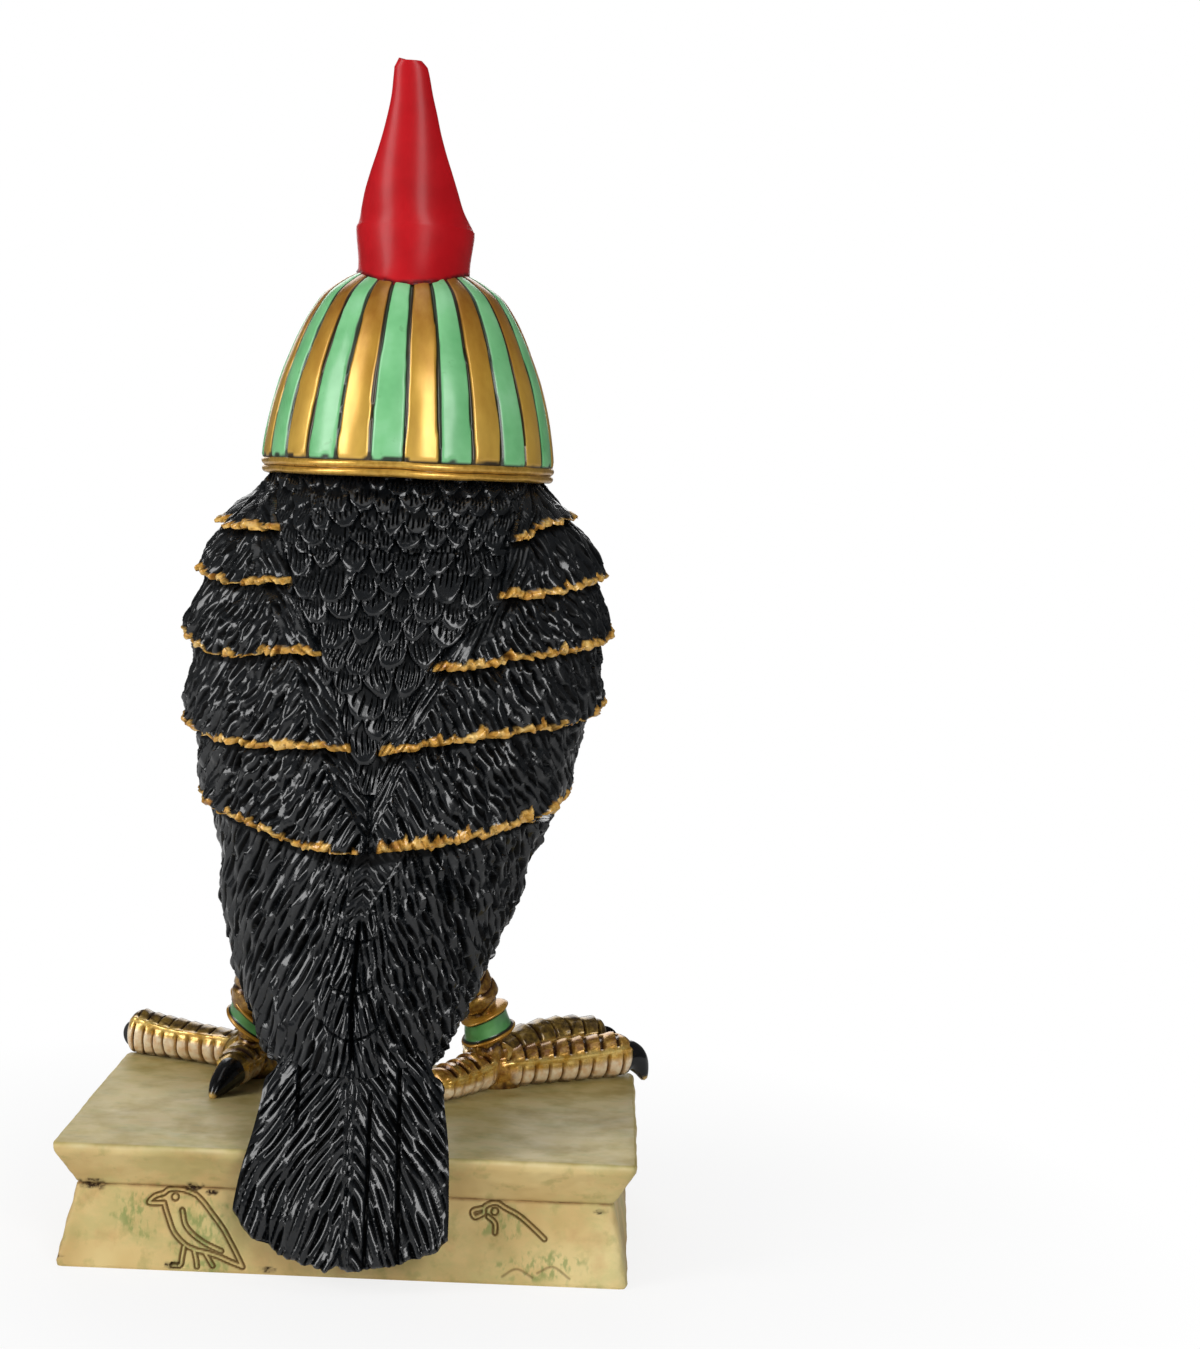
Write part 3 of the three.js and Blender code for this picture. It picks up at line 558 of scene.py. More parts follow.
def tail():
    """The tail: a thick fan over the plinth's rear edge, with slanting strokes beside a middle shaft."""
    drop = PLINTH_HEIGHT - TAIL_GAP
    rear = np.linspace(-0.5, 0.5, 160)
    hidden = np.linspace(0.5, 1.0, 14)[1:]
    columns = np.concatenate([-hidden[::-1], rear, hidden])
    t = down_shares(round((TAIL_ROOT + drop) / FINE))
    on_rear = np.abs(columns) <= 0.5
    share = np.where(on_rear, columns / 0.5, np.sign(columns) * (1 - np.abs(columns)) / 0.5)
    notch = 0.45 * np.abs(np.sin(10 * share + 0.8 * np.sin(5.3 * share))) + 0.35 * drift(20 * share, 0, 6)
    corner = np.where(share > 0, 7.2 * np.abs(share) ** 2.2, 4.2 * np.abs(share) ** 2.6)
    tip = -drop + 0.35 + corner - notch * ease(0.8, 1, t)
    height = mix(TAIL_ROOT, tip, t)
    x = tail_middle(height) + tail_half(height) * share
    depth_share = (TAIL_ROOT - height) / (TAIL_ROOT + drop)
    centre = mix(TAIL_ROOT_Y, TAIL_TIP_Y, np.clip(depth_share, 0, 1) ** 0.85)
    thick = mix(6, 3.72, t) * (1 - 0.55 * share * share)
    shaft_x = -1.0 + 0.02 * height
    away = np.abs(x - shaft_x)
    slope = mix(52, 66, ease(2, -14, height)) * DEGREE
    bend = 0.4 * drift(x / 5, height / 6, 3)
    cut, slant = slanted_cuts(away, height, slope, 1.12, 6.6, 81 + 7 * (x > shaft_x), bend)
    # A pair of fine shafts, deep dividing lines to the bird's right, and two short ones to its left
    pair = bell(away - 0.5, 0.2)
    cut = cut * (1 - 0.9 * ease(1.1, 0.7, away))
    lines = np.maximum.reduce([
        bell(x + 4.0 - 0.015 * height, 0.24) * ease(12, 9, height),
        bell(x + 8.6 - 0.04 * height, 0.26),
        bell(x - 7.3, 0.22) * ease(4, 7, height) * 0.9,
        bell(x - 10.6, 0.22) * ease(-4, -8, height) * 0.5,
    ])
    relief = 0.35 * drift(x / 2.6, height / 4, 9) + 0.35 * pair
    relief = relief + 0.8 * RIDGE_SLANT * slant - CUT_DEPTH * cut - 0.7 * lines
    bevel = 0.8 * ease(0.9, 0, height - tip)
    across = np.where(on_rear, thick / 2 + relief * ease(1.0, 0.94, np.abs(share)) - bevel, -thick / 2)
    # Painted shade in the cuts and dividing lines
    masks = dict(gilt=0.0, painted_shade=np.where(on_rear, np.clip(np.maximum(cut, lines), 0, 1), 0.5))
    return grid_piece("tail_feathers", stack(x, centre + across, height + BIRD_FOOT), masks)


def breast():
    """The breast and belly: rounded feathers in rows, between the wings' front edges."""
    height = np.linspace(BREAST_TOP, BREAST_FOOT, round((BREAST_TOP - BREAST_FOOT) / MEDIUM))[:, None]
    front = np.linspace(0, 1, 116)
    behind = np.linspace(0, 1, 10)[1:]
    edge = (wing_edge(height) - 5) * DEGREE
    turn = np.concatenate([mix(edge, 2 * math.pi - edge, front), mix(-edge, edge, behind)], axis=1)
    from_front = turn - math.pi
    shown = np.arange(turn.shape[1]) < len(front)
    lift, groove = scales(from_front * body_half(height), height, 4.6, 3.5, 23, fans=3)
    margin = (math.pi - edge - np.abs(from_front)) * body_half(height)
    out = np.where(shown, -1.15 + 1.6 * lift - 0.4 * groove - 1.5 * ease(2.5, 0, margin), -7.0)
    # Painted shade in the grooves and under each feather's rim
    masks = dict(gilt=0.0, painted_shade=np.clip(groove * 0.7 + 0.6 * ease(0.3, 0, lift), 0, 1) ** 1.5)
    return grid_piece("breast_feathers", on_body(turn, height, out), masks)


# Cap and crown

cap_half = curve((103, 23.6), (107, 23.9), (113, 23.1), (119.5, 21.5), (125, 19.5), (128, 18.2),
                 (131, 16.6), (133.9, 14.5), (136.2, 11.4), (137.6, 8.6))
# The same form turned round: the height of the cap's shoulder at a radius, where the crown stands on it
cap_height = curve((8.6, 137.6), (11.4, 136.2), (14.5, 133.9), (16.6, 131))


def on_cap(turn, height, out):
    radius = cap_half(height) + out
    x = CAP_LEAN + radius * np.sin(turn)
    y = CAP_Y + radius * CAP_DEPTH_SHARE * np.cos(turn)
    return stack(x, y, height + BIRD_FOOT)


def face_opening(turn, height):
    """1 inside the arched opening at the front of the cap."""
    across = np.abs(cap_half(height) * np.sin(turn))
    above = np.maximum(height - FACE_HEIGHT, 0)
    return ease(-0.4, 0.4, FACE_HALF - np.hypot(across, above)) * (np.cos(turn) < 0)


def striped_cap():
    """A dome of gold and green stripes, each a little rounded, between engraved lines."""
    bottom = CAP_BOTTOM + BAND_HEIGHT - 0.6
    turn = round_turns(STRIPE_COUNT * 20 + 1)
    share = down_shares(68)
    height = mix(CAP_TOP, bottom, share ** 1.1)
    stripe = (turn + STRIPE_TURN) / (2 * math.pi) * STRIPE_COUNT
    stripe = stripe + 0.035 * drift(np.round(stripe), height / 6, 21)
    index = np.floor(stripe)
    across = np.abs(stripe - index - 0.5) * 2
    half_stripe = cap_half(height) * math.pi / STRIPE_COUNT
    line_width = (0.3 + 0.12 * drift(np.round(stripe) * 3.7, height / 2.6, 8)) / half_stripe
    line = ease(1 - line_width * 1.3, 1 - line_width * 0.5, across)
    foot_line = 0.7 * ease(0.5, 0.25, height - bottom - 0.6 + 0.2 * drift(turn * 16, 0, 3))
    out = 0.16 * (1 - across ** 2) - 0.34 * line + 0.04 * drift(turn * 12, height / 5, 4) - 0.3 * foot_line
    points = on_cap(turn, height, out - 3.4 * face_opening(turn, height))
    masks = dict(gold=index % 2 == 0, line=np.clip(np.maximum(line, 0.8 * foot_line), 0, 1), rise=share)
    return grid_piece("striped_cap", points, masks, sharp=60)


def cap_band():
    """Two gold rolls round the cap's foot, with a brown groove between them."""
    turn = round_turns(201)
    share = down_shares(27)
    groove_at = 0.52 + 0.04 * drift(turn * 3, 0, 12)
    across = np.where(share < groove_at, share / groove_at, (share - groove_at) / (1 - groove_at))
    roll = np.sin(math.pi * np.clip(across, 0, 1)) ** 0.5
    height = mix(CAP_BOTTOM + BAND_HEIGHT, CAP_BOTTOM, share) + 0.08 * drift(turn * 5, 0, 17)
    out = -0.4 + 0.6 * roll + 0.04 * drift(turn * 9, share * 2, 31)
    points = np.concatenate([
        on_cap(turn, height[:1], -4.0), on_cap(turn, height, out), on_cap(turn, height[-1:], -4.0)])
    line = np.clip(1 - roll * 1.4, 0, 1)
    return grid_piece("cap_band", points, dict(line=np.concatenate([line[:1], line, line[-1:]])), sharp=60)


def brow_band():
    """The gold band round the face opening, a rounded roll on the cap's front."""
    steps = np.linspace(-0.62, math.pi + 0.62, 60)
    drop = np.maximum(-steps, 0) + np.maximum(steps - math.pi, 0)
    x = FACE_HALF * np.where(drop > 0, np.sign(np.cos(steps)), np.cos(steps))
    height = FACE_HEIGHT + FACE_HALF * np.where(drop > 0, -1.45 * drop, np.sin(np.clip(steps, 0, math.pi)))
    y = CAP_Y - CAP_DEPTH_SHARE * np.sqrt(np.maximum(cap_half(height) ** 2 - x ** 2, 0))
    path = stack(CAP_LEAN + x, y + 0.1, height + BIRD_FOOT)
    ahead = np.array([0, -1.0, 0])
    along = unit(np.gradient(path, axis=0))
    forward = unit(ahead - along * (along @ ahead)[:, None])
    aside = np.cross(along, forward)
    turns = round_turns(33)[..., None]
    bead = 1.15 * (1 + 0.08 * np.sin(turns * 2))
    ring = bead * (1.15 * np.sin(turns) * aside[:, None] + np.cos(turns) * forward[:, None])
    return grid_piece("brow_band", path[:, None] + ring, dict(line=0.0), sharp=60)


spire_half = curve((143.6, 9.7), (144.6, 9.6), (147.5, 8.4), (150.5, 7.55), (153.4, 6.6), (156.3, 5.6),
                   (159.3, 4.7), (162.2, 4.0), (165.1, 3.35), (168.1, 2.9), (170.4, 2.5))
spire_lean = curve((144.7, 0), (147.5, 0.35), (150.5, 0.5), (159, 0.5), (163, 0.5), (168, 0.75), (170.4, 1.0))


def on_crown(x, y, height):
    return stack(CROWN_LEAN + x, CROWN_Y + y, height + BIRD_FOOT)


def crown():
    """A drum with a dished top, whose back runs up without a step into a tall tapering spire."""
    turn = round_turns(105)
    sine, cosine = np.sin(turn), np.cos(turn)
    front = ease(78 * DEGREE, 108 * DEGREE, np.abs(turn))
    wall = down_shares(40) ** 1.15
    # Behind, the wall leans out down to the cap's shoulder, so the foot is lowest there
    foot_half = 9.15
    foot_depth = np.where(cosine > 0, 13.3, 9.3)
    foot = cap_height(np.hypot(foot_half * sine, foot_depth * cosine)) - 0.3 + 0.15 * drift(turn * 5, 0, 2)
    rim_height = CROWN_RIM + 0.25 * np.cos(turn - 0.6)
    height = mix(foot, rim_height, wall)
    bead = 0.16 * bell(height - foot - 0.35, 0.3) * (1 + drift(turn * 9, 0, 5))
    half = mix(foot_half, CROWN_RADIUS, ease(0.2, 0.98, wall)) + bead
    depth = mix(foot_depth, CROWN_RADIUS, wall ** 0.8) + bead
    drum = on_crown(half * sine, depth * cosine, height)

    rise = down_shares(54)[1:]
    level = mix(rim_height - 2.4 * front * (1 - rise) ** 3, CROWN_TOP, rise)
    across = spire_half(level) * (1 - 0.25 * ease(0.965, 1, rise)) * sine
    bow = CROWN_RADIUS - np.sqrt(np.clip(CROWN_RADIUS ** 2 - across ** 2, 0, None))
    thick = mix(4.6, 2.2, rise) / 2
    back = CROWN_RADIUS - bow * (1 - 0.5 * rise) + rise ** 2
    nub = 0.5 * bell(turn - 1.75, 0.45) * ease(0.97, 1, rise)
    x = spire_lean(level) + across
    spire = on_crown(x, back - thick + thick * cosine, level + nub)
    # Behind, the wall turns into the spire; at the sides the rim ends in a corner
    joined = ease(3.0, 0, level - rim_height) * ease(112 * DEGREE, 88 * DEGREE, np.abs(turn))
    spire = mix(spire, on_crown(x, CROWN_RADIUS * cosine, level), joined[..., None])

    rings = []
    for share, radius, drop in ((0.2, 9.1, 0.0), (0.5, 8.4, 1.6), (0.75, 6.0, 2.4)):
        ring = on_crown(radius * sine, radius * cosine, rim_height - drop)
        rings.append(mix(mix(drum[-1:], spire[:1], share), ring, front[..., None]))
    foot_ring = on_crown(7 * sine, 7 * cosine, height[:1] - 0.4)
    points = np.concatenate([foot_ring, drum, *rings, spire, spire[-1:]])
    edge = np.zeros(points.shape[:2])
    edge[1:len(drum) + 1] = ease(1.1, 0.35, height - foot)
    edge[0] = 1
    return grid_piece("crown", points, dict(foot=edge), sharp=50)


# Head

def on_face(x, up, out=0.0):
    """Points of the head's form, from its middle."""
    rest = 1 - (x / HEAD_RADII[0]) ** 2 - (up / HEAD_RADII[2]) ** 2
    y = FACE_Y - HEAD_RADII[1] * np.sqrt(np.maximum(rest, 0)) - out
    return stack(CAP_LEAN + x, y, FACE_HEIGHT + up + BIRD_FOOT)


def head():
    """A falcon's head: rounded, with short feathers, a brow over each eye and a socket round it."""
    turn = round_turns(145)
    polar = polar_turns(90)
    form = stack(np.sin(polar) * np.sin(turn), np.sin(polar) * np.cos(turn), np.cos(polar))
    ahead = form[..., 1] < 0
    away = np.abs(form[..., 0] * HEAD_RADII[0])
    up = form[..., 2] * HEAD_RADII[2]
    lift, groove = scales(turn * 13, up, 3.0, 2.4, 41, fans=3)
    brow = bell(up - BROW_UP + 0.05 * (away - 8) ** 2, 1.2) * ahead
    brow = brow * ease(2.5, 4.5, away) * ease(13.5, 11.5, away)
    socket = ease(4.6, 3.2, np.hypot(away - EYE_AWAY, up - EYE_UP)) * ahead
    cheek = bell(away - 9.0 + 0.1 * (up + 4), 1.1) * ease(-11, -9, up) * ease(0.4, -0.6, up) * ahead
    cere = ease(6.5, 4.8, np.hypot(away, (up - 0.4) * 1.1)) * ahead
    plain = np.clip(1 - socket - brow - cheek - cere, 0, 1)
    out = plain * (0.55 * lift - 0.18 * groove) + 1.5 * brow - 0.5 * socket + 0.9 * cheek + 0.6 * cere
    middle = (CAP_LEAN, FACE_Y, FACE_HEIGHT + BIRD_FOOT)
    # Painted shade in the grooves and under each feather's rim, away from the eyes, brows, cheeks and cere
    masks = dict(gilt=np.clip(brow * 1.6 + cheek * 1.8, 0, 1) * (np.maximum(brow, cheek) > 0.3),
                 painted_shade=plain * np.clip(groove * 0.6 + 0.4 * ease(0.2, 0, lift), 0, 1))
    return grid_piece("head", middle + form * (HEAD_RADII + out[..., None]), masks)


def beak():
    """The hooked beak, with a groove for the mouth."""
    points = [on_face(0, 2.6, -3.0), on_face(0, 1.4, 0.8), on_face(0, -2.6, 2.6),
              (CAP_LEAN, FACE_Y - HEAD_RADII[1] - 2.8, FACE_HEIGHT - 7.7 + BIRD_FOOT)]
    turns = round_turns(61)
    t = down_shares(60)
    mouth = bell(np.abs(turns) - 2.0, 0.13) * ease(0.95, 0.6, t) * ease(0.1, 0.3, t)
    ridge = 0.3 * bell(turns, 0.35) * (1 - t)
    wide = (4.2 * (1 - t) ** 0.7 + 0.25) * (1 - 0.14 * mouth)
    tall = (4.6 * (1 - t) ** 0.8 + 0.3 + ridge) * (1 - 0.14 * mouth)
    placed = limb_points(points, t, turns, wide, tall, (0, -0.7, 0.7))
    return grid_piece("beak", placed, dict(line=mouth, dark=ease(0.55, 0.95, t)))


def eye(side):
    """One eye: a rounded ball with an amber ring round a black pupil, and a gold rim."""
    turn = round_turns(49)
    polar = polar_turns(36, 0.01)
    outward = unit(np.array([side * 0.55, -0.82, 0.12]))
    sideways = unit(np.cross(outward, (0, 0, 1.0)))
    axes = np.array([sideways, np.cross(sideways, outward), outward])
    reach = (EYE_RADIUS + 0.35 * bell(polar - 1.25, 0.12)) * np.sin(polar)
    ball = stack(reach * np.sin(turn), reach * np.cos(turn), EYE_BULGE * np.cos(polar))
    points = on_face(side * EYE_AWAY, EYE_UP, -0.9) + ball @ axes
    masks = dict(pupil=ease(0.72, 0.62, polar), rim=ease(1.02, 1.1, polar))
    return grid_piece(f"eye_{SIDES[side]}", points, masks)


def lappet(side):
    """A striped lappet of the cap, laid on the breast."""
    down = down_shares(110)
    u = np.linspace(-0.5, 0.5, 36)[None, :]
    height = CAP_BOTTOM + 1 - down * LAPPET_LENGTH
    shift = side * (11.5 + 1.5 * down) + u * LAPPET_WIDTH * (1 - 0.12 * down)
    turn = math.pi - np.arcsin(np.clip(shift / body_half(height), -0.98, 0.98))
    bars = down * LAPPET_BARS
    groove = np.maximum(ease(0.12, 0.02, bars % 1), ease(0.88, 0.98, bars % 1))
    rim = np.maximum(ease(0.40, 0.46, np.abs(u)), ease(0.965, 0.985, down))
    line = groove * (1 - rim)
    edge = ease(0.5, 0.46, np.abs(u)) * ease(1, 0.985, down)
    out = (2.8 + 1.2 * ease(0.34, 0.04, down)) * edge - 0.35 * line + 0.2 * rim - 1.2
    core = on_body(math.pi - side * 0.35, 88.0, HIDDEN)
    masks = dict(gold=np.maximum(rim, np.floor(bars) % 2 == 0), line=line, rise=0.6)
    return grid_piece(f"lappet_{SIDES[side]}", on_body(turn, height, out), masks, core)


# Legs and feet. Paths run downwards, as x, y and height

THIGHS = {1: ((14.5, -3, 42), (15.8, -6, 33), (16.9, -9, 26), (18.0, -10.5, 21)),
          -1: ((-12, -3, 42), (-12.6, -6, 33), (-13.2, -8.5, 27), (-14.2, -9.5, 23))}
SHANKS = {1: ((18.6, -10.5, 25), (19.6, -11.6, 19.5), (20.4, -14.5, 9), (20.8, -16.0, 2)),
          -1: ((-13.6, -9.6, 26), (-15.6, -11.0, 20), (-18.6, -13.4, 13), (-19.8, -15.6, 2))}
ANKLETS = {
    1: dict(top=(20.2, -13.0, 13.2), foot=(20.8, -15.2, 9.2), slant=(0.85, 0.55), radius=(3.6, 4.2),
            roll=0.11),
    -1: dict(top=(-18.6, -13.2, 14.7), foot=(-19.6, -15.0, 9.5), slant=(-0.44, -0.33), radius=(3.2, 4.1),
             roll=0.07),
}


def over_foot(points):
    """Points given by x, y and height of the bird, in the figure's frame."""
    return np.array(points, float) + (0, 0, BIRD_FOOT)


def thigh(side):
    """The feathered thigh down to the hock."""
    turns = round_turns(81)
    t = down_shares(64)
    wide = 7.6 if side > 0 else 6.4
    radius = (wide - 2.4 * t) * np.sqrt(1 - 0.8 * t ** 4) * mix(0.45, 1, ease(0, 0.4, t))
    lift, groove = scales(turns * 7, -t * 24, 3.6, 4.2, 51 + side, fans=3)
    radius = radius + 0.6 * lift - 0.3 * groove - 0.3
    placed = limb_points(over_foot(THIGHS[side]), t, turns, radius, radius + 0.8, (0, 1, 0))
    # Painted shade in the grooves and under each feather's rim
    masks = dict(gilt=0.0, painted_shade=np.clip(groove + 0.5 * ease(0.2, 0, lift), 0, 1))
    return grid_piece(f"thigh_{SIDES[side]}", placed, masks)


def shank(side):
    """The bare shank, which widens to the anklet, with folds and plates across it."""
    turns = round_turns(61)
    t = down_shares(70)
    fold = t * 11 + 0.5 * drift(turns * 1.2, t * 5, 6 + side) + 0.4 * np.abs(turns) / math.pi
    groove = ease(0.6, 0.97, np.abs(fold % 1 - 0.5) * 2)
    radius = 3.1 + 0.75 * ease(0.1, 0.5, t) + 0.3 * (1 - groove) - 0.2 * groove
    radius = (radius + 0.25 * drift(turns * 2, t * 9, 6)) * (1 - 0.34 * ease(0.5, 0.6, t))
    placed = limb_points(over_foot(SHANKS[side]), t, turns, radius, radius, (0, 1, 0))
    masks = dict(line=groove * 0.8, pad=0.0, ridge=0.0, shade=0.55, contact_shadow=0.0)
    return grid_piece(f"shank_{SIDES[side]}", placed, masks)


def anklet(side):
    """A green band between two gold rings, aslant round the ankle with the outer side raised."""
    form = ANKLETS[side]
    turns = round_turns(81)
    t = down_shares(56)
    wander = t + 0.03 * drift(turns * 1.5, 0, 9 + side)
    rolls = np.maximum(bell(wander - 0.14, form["roll"]), bell(wander - 0.86, form["roll"]))
    radius = mix(*form["radius"], t) + 0.6 * rolls + 0.1 * drift(turns * 3, t * 4, 3 + side)
    radius = mix(radius, 2.7, np.maximum(ease(0.05, 0, t), ease(0.95, 1, t)))
    x, y = radius * np.sin(turns), radius * np.cos(turns)
    lean = mix(*form["slant"], t) * x - 0.22 * y
    points = mix(over_foot(form["top"]), over_foot(form["foot"]), t[..., None]) + stack(x, y, lean)
    gold = ease(0.3, 0.45, rolls + 0.06 * drift(turns * 6, t * 6, 5))
    gold = np.maximum(gold, ease(0.32, 0.36, np.abs(t - 0.5)))
    line = bell(np.abs(wander - 0.5) - 0.36 + 1.1 * form["roll"], 0.03)
    return grid_piece(f"anklet_{SIDES[side]}", points, dict(gold=gold, line=line, rise=0.4), sharp=60)


def on_plinth(points):
    """Points that are kept from going more than a little below the plinth's top."""
    points[..., 2] = np.maximum(points[..., 2], PLINTH_HEIGHT - 0.5)
    return points


def toe(form, seed):
    """One toe: plates along the top, a ridge down each side and soft pads under it."""
    turns = round_turns(97 if form["plates"] > 4 else 73)
    t = down_shares(12 * form["plates"] + 12)
    path = np.array(form["path"], float)
    high, wide = curve(*form["high"]), curve(*form["wide"])
    path[:, 2] += PLINTH_HEIGHT + high(np.linspace(0, 1, len(path))) / 2
    turned = np.abs(turns)
    plate = t * form["plates"] + 0.12 * drift(t * 6, turned, seed) + form.get("aslant", 0) * turned
    plate = plate % 1
    gap = np.maximum(ease(form.get("gap", 0.16), 0.03, plate), ease(0.88, 0.98, plate))
    step = (0.1 + 0.75 * plate ** 0.8) * (1 - gap) * form.get("teeth", 1)
    ridge_turn = form["ridge"] + 0.16 * np.sin(math.pi * t)
    below = turned - ridge_turn
    top_side = ease(-0.1, -0.26, below)
    ridge = bell(below, 0.17) * ease(0.02, 0.12, t) * ease(1.0, 0.97, t)
    pad_step = (t * form["plates"] * 1.1 + 0.3 + 0.2 * drift(t * 9, 0, seed)) % 1
    pad_gap = np.maximum(ease(0.14, 0.03, pad_step), ease(0.87, 0.98, pad_step))
    low_side = ease(0.12, 0.26, below) * ease(0.06, 0.16, t)
    closing = np.sqrt(np.clip(1 - ((t - 0.86) / 0.14).clip(0, 1) ** 2.4, 0.02, 1))
    relief = top_side * (step - 0.35 * gap) + 0.75 * ridge
    relief = relief + low_side * (0.36 * np.sin(math.pi * pad_step) ** 0.5 - 0.5 * pad_gap)
    relief = relief + 0.12 * drift(t * 14, turns * 2, seed + 4)
    across, upward = (wide(t) / 2 + relief) * closing, (high(t) / 2 + relief * 0.9) * closing
    placed = on_plinth(limb_points(path, t, turns, across, upward))
    # Painted shade on the upper side, a painted highlight along the ridges and painted contact shadow by the
    # plinth
    masks = dict(line=np.clip(top_side * gap + 0.38 * low_side * pad_gap, 0, 1),
                 pad=low_side * (1 - pad_gap) * ease(0.3, 0.6, below),
                 ridge=np.clip(ridge * 1.3 + low_side * 0.6 * ease(0.6, 0.3, below), 0, 1),
                 shade=top_side * form["shade"],
                 contact_shadow=ease(*CONTACT_SHADOW_REACH, placed[..., 2] - PLINTH_HEIGHT))
    return grid_piece(f"{form['name']}_toe", placed, masks)


def claw(form):
    """A toe's claw, curved over and down from the toe's tip."""
    end_x, end_y, end_height = np.add(form["path"][-1], form.get("claw_shift", (0, 0, 0)))
    size = form["high"][-1][1]
    tip = np.array([end_x, end_y, end_height + PLINTH_HEIGHT + size / 2])
    reach = np.array([*form["claw"][:2], 0.0])
    drop = np.array([0, 0, form["claw"][2]])
    hook = []
    for share in np.linspace(0, 1, 6):
        run = 1.25 * share - 0.25 * share ** 2 - form.get("start", 0.35) * (1 - share)
        hook.append(tip + reach * run + drop * share ** form.get("curl", 2.4))
    t = down_shares(30)
    turns = round_turns(33)
    girth = size * (form["girth"] * (1 - t ** 1.6) ** 0.8 + 0.05)
    placed = limb_points(hook, t, turns, girth, girth, unit(reach) + (0, 0, 1.0))
    return grid_piece(f"{form['name']}_claw", placed, dict(chip=ease(0.88, 0.97, t)))


FOOT_MIDDLES = {1: (21.5, -18.0), -1: (-20.0, -17.6)}
FOOT_RADII = (5.4, 4.0, 6.2)
TOE_WIDE = ((0, 6.4), (0.6, 6.6), (1, 7.0))
SMALL_TOE = dict(plates=4, high=((0, 5.6), (1, 5.8)), wide=((0, 5.4), (1, 5.8)), girth=0.36, shade=0.9,
                 ridge=1.1)

# A toe's path runs from the foot's middle to its tip, with heights above the plinth's top for its lower side.
# The claw is given by its reach sideways, its reach in depth and its drop. A low curl makes it straight.
# Shade is how much painted shade lies on a toe's upper side; it is high on the toes that lie in shade.
TOES = {
    1: (
        dict(name="left_outer", plates=9, high=((0, 5.6), (0.6, 6.6), (1, 7.8)), wide=TOE_WIDE,
             path=((22, -20.2, 0.5), (31, -25.0, 0.2), (38.5, -28.4, 0.1), (44.6, -30.0, 0.2)),
             claw=(-1.2, -3.4, -4.4), claw_shift=(-1.5, 0, -0.7), girth=0.27, shade=0.95, ridge=0.78,
             teeth=0.5),
        dict(name="left_hind", plates=3, high=((0, 6.2), (1, 5.2)), wide=((0, 6.0), (1, 5.0)),
             path=((21.5, -16, 0.0), (22.2, -11, 0.4), (23.0, -5.8, 0.6)),
             claw=(2.3, 5.8, -3.2), curl=1.25, start=0.1, girth=0.44, shade=1.0, ridge=1.1),
        dict(SMALL_TOE, name="left_middle", path=((21.5, -18, 0), (22.5, -24, 0.2), (23.5, -30, 0.3)),
             claw=(0.4, -4.2, -4.0)),
        dict(SMALL_TOE, name="left_inner", path=((20.5, -18, 0), (15, -24, 0.2), (9.8, -28.8, 0.3)),
             claw=(-2.2, -3.8, -4.0)),
    ),
    -1: (
        dict(name="right_outer", plates=9, high=((0, 5.8), (0.6, 6.6), (1, 7.2)), wide=TOE_WIDE,
             path=((-20, -15.5, 0.1), (-28, -20, 0.1), (-36, -24.2, 0.2), (-44.2, -28.3, 0.2)), aslant=0.35,
             gap=0.26, claw=(-2.7, -0.7, -4.4), claw_shift=(0, 0, -0.5), girth=0.36, shade=0.05, ridge=1.04),
        dict(name="right_second", plates=7, high=((0, 6.2), (1, 6.8)), wide=((0, 6), (1, 6.2)),
             path=((-20.5, -18, 1.0), (-27, -25, 2.6), (-33.5, -30, 2.6), (-39.4, -32.6, 1.6)),
             claw=(-0.2, -3.6, -4.8), girth=0.36, shade=1.0, ridge=1.3),
        dict(name="right_hind", plates=5, high=((0, 6.6), (0.6, 5.6), (1, 4.8)), wide=((0, 6.4), (1, 5.2)),
             path=((-19.5, -15, 0.2), (-15.5, -9.5, 0.1), (-11.2, -3.6, 0.0)),
             claw=(2.4, 2.6, -3.4), girth=0.36, shade=0.1, ridge=1.1),
        dict(SMALL_TOE, name="right_middle", path=((-19.5, -17, 0), (-18.4, -24, 0.2), (-17.4, -30, 0.3)),
             claw=(0.4, -4.2, -4.0)),
    ),
}


def foot_pad(side):
    """The middle of the foot, under the anklet: skin in folds that run down and out to the toes."""
    turn = round_turns(97)
    polar = polar_turns(56)
    wrinkle, _ = cuts(polar * 6.0, turn * 6.5 + polar * 1.5, 2.6, 5.0, 71 + side)
    bump = (0.5 * drift(turn * 1.7, polar * 2.4, 71) - 0.3 * wrinkle) * ease(1.8, 1.3, polar)
    middle = (*FOOT_MIDDLES[side], 1.4 + PLINTH_HEIGHT)
    boxy = np.sin(polar) ** 0.8
    form = stack(boxy * np.sin(turn), boxy * np.cos(turn), np.cos(polar))
    points = middle + form * (FOOT_RADII + bump[..., None])
    # Painted highlight on the higher bumps, painted shade over the left pad, and painted contact shadow by
    # the plinth
    masks = dict(line=wrinkle * 0.55, pad=0.0, ridge=np.clip(0.3 + bump, 0, 1),
                 shade=0.9 if side > 0 else 0.1, contact_shadow=ease(*CONTACT_SHADOW_REACH, points[..., 2] - PLINTH_HEIGHT))
    return grid_piece(f"foot_pad_{SIDES[side]}", on_plinth(points), masks)


# Plinth

